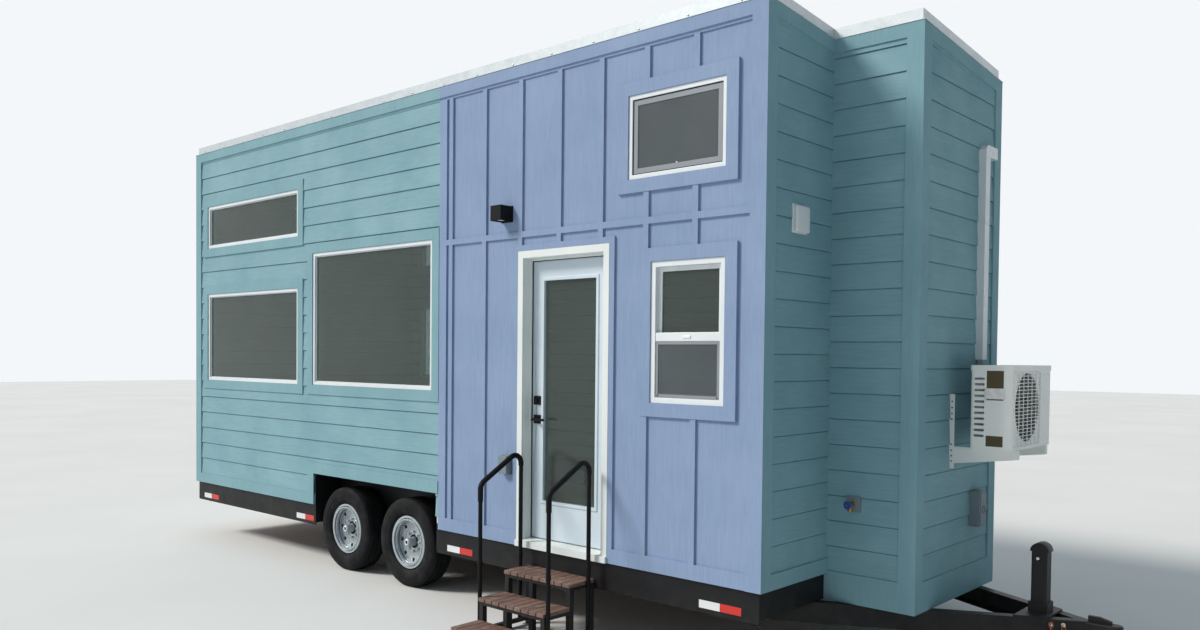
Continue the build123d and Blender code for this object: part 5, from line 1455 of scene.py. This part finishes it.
@dataclass
class Fittings:
    """Small things on the walls and the steps."""

    house: House
    treads: int = 3
    tread_boards: int = 9
    tread_board: float = 0.065
    rise: float = 0.155
    going: float = 0.240
    bearers: tuple[float, float] = (0.030, 0.222)
    post: float = 0.019
    back_bolts: tuple[float, float] = (0.17, 0.36)
    front_bolts: tuple[float, float] = (0.17, 0.22)
    post_split: float = -1.3
    sleeve: tuple[float, float] = (0.485, 0.525)
    lens_inset: float = 0.014
    lamp_inset: float = 0.25
    lamp_half: float = 0.082
    lamp_z: tuple[float, float] = (0.420, 0.478)
    seal: float = 0.005
    seal_half: float = 0.376
    seal_depth: tuple[float, float] = (-1.0105, -1.0035)
    seal_z: tuple[float, float] = (0.612, 2.638)

    def bolts(self) -> bpy.types.Object:
        """Pale bolt heads over the bearers of every tread."""
        low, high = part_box("step_treads")
        heads = []
        pitch = (high.x - low.x - self.tread_board) / (self.tread_boards - 1)
        for level in range(self.treads):
            z = high.z - level * self.rise
            back = high.y - level * self.going
            for n in range(self.tread_boards):
                x = low.x + self.tread_board / 2 + n * pitch
                for y in (back - bearer for bearer in self.bearers):
                    heads.append(rod("bolt", (x, y, z - 0.002), (x, y, z + 0.0012), 0.0045, 10))
        return dress(join("tread_bolts", heads), ZINC)

    def rail_joints(self) -> bpy.types.Object:
        """Sleeves and bolts where each handrail post is fixed to the steps' frame."""
        low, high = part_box("step_rails")
        parts = []
        for x, out in ((low.x + self.post, -1), (high.x - self.post, 1)):
            for y in (low.y + self.post, high.y - self.post):
                for z in self.back_bolts if y > self.post_split else self.front_bolts:
                    parts.append(rod("bolt", (x, y, z), (x + out * 0.0185, y, z), 0.006, 6, 0.001))
                parts.append(rod("sleeve", (x, y, self.sleeve[0]), (x, y, self.sleeve[1]), 0.0175, 24, 0.002))
        return dress(join("rail_joints", parts), BLACK_METAL)

    def lamp_lens(self) -> bpy.types.Object:
        """The frosted lens under the porch light."""
        low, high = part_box("porch_light")
        lens = block("porch_lens", (low.x + self.lens_inset, low.y + 0.010, low.z + self.lens_inset),
                     (high.x - self.lens_inset, high.y - 0.022, low.z + 0.019), 0.002)
        return dress(lens, VINYL)

    def pull_ring(self) -> bpy.types.Object:
        """The round pull of the disconnect box."""
        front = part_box("electrical_boxes")[1].x
        bpy.ops.mesh.primitive_torus_add(
            major_radius=0.022, minor_radius=0.0045, major_segments=32, minor_segments=10,
            location=(front - 0.002, self.house.y_near + 0.905, 0.935), rotation=(0, math.pi / 2, 0))
        return dress(smooth(settle(bpy.context.object, "pull_ring"), 60), DARK_PLASTIC_AND_SHADE)

    def tail_lamps(self) -> list[bpy.types.Object]:
        """Plain oval tail lamps in the rear skirt."""
        h = self.house
        made = []
        z_low, z_high = self.lamp_z
        for y in (h.y_door + self.lamp_inset, h.y_far - self.lamp_inset):
            lamp = block("tail_lamp", (h.x_rear - 0.018, y - self.lamp_half, z_low),
                         (h.x_rear, y + self.lamp_half, z_high), 0.017, 4)
            made.append(dress(smooth(lamp, 50), LAMP_RED))
        return made

    def vent_cover(self) -> bpy.types.Object:
        """A moulded cover with rounded corners, open along its foot, on its flange."""
        x = self.house.x_front
        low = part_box("vent_hood")[0]
        y_low, z_low = low.y - 0.006, low.z + 0.009
        y_high, z_high = y_low + 0.160, z_low + 0.167
        cap = block("vent_cover", (x + 0.014, y_low, z_low), (x + 0.046, y_high, z_high), 0.014, 5)
        mouth = block("mouth", (x + 0.018, y_low + 0.012, z_low - 0.05),
                      (x + 0.040, y_high - 0.012, z_low + 0.06))
        cut(cap, mouth)
        flange = block("flange", (x + 0.010, y_low - 0.008, z_low - 0.004),
                       (x + 0.0195, y_high + 0.008, z_high + 0.008), 0.004, 3)
        made = dress(smooth(join("vent_cover", [cap, flange])), VINYL)
        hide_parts("vent_hood")
        return made

    def weather_strip(self) -> bpy.types.Object:
        """The black seal that shows round the closed door, inside its stops."""
        x, half, depth = self.house.door_x, self.seal_half, self.seal_depth
        (foot, head), seal = self.seal_z, self.seal
        strips = [
            block("seal", (x - half, depth[0], foot), (x - half + seal, depth[1], head), 0.001),
            block("seal", (x + half - seal, depth[0], foot), (x + half, depth[1], head), 0.001),
            block("seal", (x - half, depth[0], head - seal), (x + half, depth[1], head), 0.001),
        ]
        return dress(join("door_seal", strips), RUBBER)

    def build(self) -> list[bpy.types.Object]:
        """Makes every small fitting."""
        return [self.bolts(), self.rail_joints(), self.lamp_lens(), self.pull_ring(), *self.tail_lamps(),
                self.vent_cover(), self.weather_strip()]


@dataclass
class Reflectors:
    """Strips of reflective tape along the skirts."""

    house: House
    spans: tuple[tuple[float, float], ...] = (
        (-7.006, -6.693), (-5.148, -4.849), (-2.904, -2.602), (-0.440, -0.127))
    z_low: float = 0.385
    z_high: float = 0.435
    proud: float = 0.0008

    def build(self) -> list[bpy.types.Object]:
        """Sticks a white and a red half at each place, on both sides."""
        h = self.house
        made = []
        for side, plane in ((Side.DOOR, h.y_door), (Side.FAR, h.y_far)):
            for n, (start, end) in enumerate(self.spans):
                middle = (start + end) / 2
                ys = sorted((plane, plane + side.value * self.proud))
                for part, a, b, finish in (("white", start, middle, TAPE_WHITE),
                                           ("red", middle, end, TAPE_RED)):
                    tape = block(f"tape_{part}_{side.name.lower()}_{n}", (h.x_front + a, ys[0], self.z_low),
                                 (h.x_front + b, ys[1], self.z_high), 0.0003, 1)
                    made.append(dress(tape, finish))
        return made


@dataclass
class CarriedOver:
    """The CAD nodes whose shape is right, each with its finish and the softness of its edges."""

    house: House
    nodes: dict[str, bpy.types.Object]
    finishes: dict[str, Finish] = field(default_factory=lambda: {
        "battens": PURPLE, "window_panes": GLASS, "window_frames": VINYL,
        "door_frame": CASING_PAINT, "door_slab": DOOR_SKIN, "door_glass": GLASS, "door_hardware": BLACK_METAL,
        "door_lever": BLACK_METAL, "roof": ROOF_SHEET, "roof_flashing": GALVANISED, "floor": FLOOR,
        "bumpout_floor": TEAL, "step_treads": STAIN, "step_frame": STEP_PAINT, "step_rails": BLACK_METAL,
        "ac_case": ENAMEL, "ac_brackets": ENAMEL, "ac_fan": DARK_PLASTIC_AND_SHADE, "ac_grille": ENAMEL,
        "electrical_boxes": GREY_PLASTIC, "porch_light": BLACK_METAL, "vent_hood": VINYL, "bib_handle": BLUE,
        "jack_leg": ZINC, "jack_crank": ZINC, "safety_chains": CHAIN_RUST,
    })
    edges: dict[str, float] = field(default_factory=lambda: {
        "trim_boards": 1.5, "battens": 1.5, "window_casings": 1.5, "door_frame": 1.5, "door_slab": 2.0,
        "door_hardware": 1.5, "door_lever": 3.0, "step_treads": 4.0, "step_frame": 2.0, "ac_case": 2.0,
        "ac_brackets": 1.0, "line_cover": 4.0, "electrical_boxes": 4.0, "porch_light": 2.0, "vent_hood": 4.0,
        "bib_handle": 2.0, "hose_bib": 1.5, "jack_tube": 2.0, "jack_crank": 2.0, "jack_leg": 1.0,
        "coupler": 2.0, "tongue_beam_left": 2.0, "tongue_beam_right": 2.0, "chassis_rails": 2.0,
        "ac_fan": 1.5,
    })
    corner_wrap: float = 0.0235
    wall_skin: float = 0.0005
    bib_block: float = 0.0242
    lagging_top: float = 1.9495
    beyond: float = 99.0

    def build(self) -> None:
        """Dresses each node by its name."""
        h = self.house
        trim = Split("painted_trim_by_bay", TEAL_TRIM, PURPLE, (
            ("X", h.x_panel, h.x_front + self.corner_wrap), ("Y", -self.beyond, h.y_door + self.wall_skin)))
        tap = Split("bib_on_its_block", BRASS, GREY_PLASTIC, (
            ("Y", h.y_near - self.bib_block, self.beyond),))
        pipe = Split("line_cover_and_pipe", VINYL, LAGGING, (("Z", 0.0, self.lagging_top),))
        special = {"trim_boards": trim, "window_casings": trim, "hose_bib": tap, "line_cover": pipe}
        for name, node in self.nodes.items():
            finish = special.get(name) or self.finishes.get(name)
            if finish is None and name.startswith("wheel_") and name != "wheel_wells":
                finish = SILVER
            elif finish is None:
                finish = WALL_INSIDE if name.startswith(("wall_", "bumpout_")) else FRAME_PAINT
            dress(node, finish)
            if name in self.edges:
                soften(node, self.edges[name] * MM)


# Light and camera


@dataclass
class Studio:
    """A pale floor, soft light and the photograph's viewpoint."""

    house: House
    camera_from_front: float = 3.093
    camera_from_door_wall: float = -4.885
    camera_height: float = 1.95
    yaw: float = 0.7313
    pitch: float = -0.025
    roll: float = 0.010
    lens: float = 28.94
    shift_y: float = 0.0541
    sky_bright: str = "#E9EEF3"
    sky_dim: str = "#54747F"
    sky_seen: str = "#F4F7FA"
    sky_strength: float = 0.74
    sky_turn: tuple[float, float] = (-0.7, 0.8)
    key_azimuth: float = -44.0
    key_elevation: float = 40.0
    key_strength: float = 2.8
    key_angle: float = 16.0
    key_hue: str = "#FFF9F0"

    def camera(self) -> None:
        """Sets the camera where the photograph was taken from."""
        data = bpy.data.cameras.new("viewpoint")
        data.lens = self.lens
        data.sensor_width = 36.0
        data.shift_y = self.shift_y
        data.clip_end = 200.0
        made = bpy.data.objects.new("viewpoint", data)
        bpy.context.scene.collection.objects.link(made)
        turn = (Matrix.Rotation(self.yaw, 4, "Z") @ Matrix.Rotation(math.pi / 2 + self.pitch, 4, "X")
                @ Matrix.Rotation(self.roll, 4, "Z"))
        place = (self.house.x_front + self.camera_from_front,
                 self.house.y_door + self.camera_from_door_wall, self.camera_height)
        made.matrix_world = Matrix.Translation(place) @ turn
        bpy.context.scene.camera = made

    def floor(self) -> None:
        """A pale concrete floor, which isn't part of the house."""
        bpy.ops.mesh.primitive_plane_add(size=120.0, location=(0, 0, 0))
        ground = settle(bpy.context.object, "studio_floor")
        dress(ground, Finish("pale_floor_matt", "#E4E5E5", "#DFE0E0", patch=3000.0, roughness=0.8,
                             spread=0.05, relief=20.0, height=0.05))

    def key(self) -> None:
        """A distant soft lamp. Azimuth 0 stands on the -Y side and 90 on the +X side, in degrees."""
        data = bpy.data.lights.new("key", "SUN")
        data.energy = self.key_strength
        data.angle = math.radians(self.key_angle)
        data.color = linear(self.key_hue)[:3]
        made = bpy.data.objects.new("key", data)
        bpy.context.scene.collection.objects.link(made)
        a, e = math.radians(self.key_azimuth), math.radians(self.key_elevation)
        towards = Vector((math.sin(a) * math.cos(e), -math.cos(a) * math.cos(e), math.sin(e)))
        made.rotation_euler = towards.to_track_quat("Z", "Y").to_euler()

    def world(self) -> None:
        """A surround that dims towards +X, and is white where the camera or a reflection sees it."""
        world = bpy.data.worlds.new("surround")
        world.use_nodes = True
        tree = world.node_tree
        where = add(tree, "TexCoord").outputs["Generated"]
        towards = add(tree, "SeparateXYZ", {"Vector": where}).outputs["X"]
        near, far = self.sky_turn
        front = add(tree, "MapRange", {"Value": towards, "From Min": near, "From Max": far}).outputs["Result"]
        shade = add(tree, "Mix", {0: front, 6: linear(self.sky_bright), 7: linear(self.sky_dim)},
                    data_type="RGBA").outputs[2]
        sky = add(tree, "Background", {"Color": shade, "Strength": self.sky_strength})
        seen = add(tree, "Background", {"Color": linear(self.sky_seen), "Strength": 1.0})
        path = add(tree, "LightPath")
        share = path.outputs["Is Camera Ray"]
        for ray in ("Is Glossy Ray", "Is Transmission Ray"):
            share = add(tree, "Math", {0: share, 1: path.outputs[ray]}, operation="MAXIMUM").outputs[0]
        mixed = add(tree, "MixShader", {0: share, 1: sky.outputs[0], 2: seen.outputs[0]})
        tree.links.new(mixed.outputs[0], tree.nodes["World Output"].inputs["Surface"])
        bpy.context.scene.world = world

    def build(self) -> None:
        """Sets up the whole studio."""
        self.camera()
        self.floor()
        self.world()
        self.key()
        bpy.context.scene.view_settings.view_transform = "Standard"


def main() -> None:
    """Builds the house's looks in order and reports each piece."""
    logging.basicConfig(level=logging.INFO, format="%(message)s")
    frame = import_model()
    house = House()
    Studio(house).build()
    CarriedOver(house, frame["nodes"]).build()
    for maker in (LapSiding(house), EntryBay(house), Glazier(house), Chains(house), CoolingUnit(),
                  RoofDress(house), Fittings(house), Reflectors(house)):
        for piece in maker.build():
            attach(piece, "house")
            log.info("%s: %s", type(maker).__name__, piece.name)
    for piece, body in RoadWheels(house).build():
        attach(piece, body)
        log.info("RoadWheels: %s", piece.name)


if __name__ == "__main__":
    main()
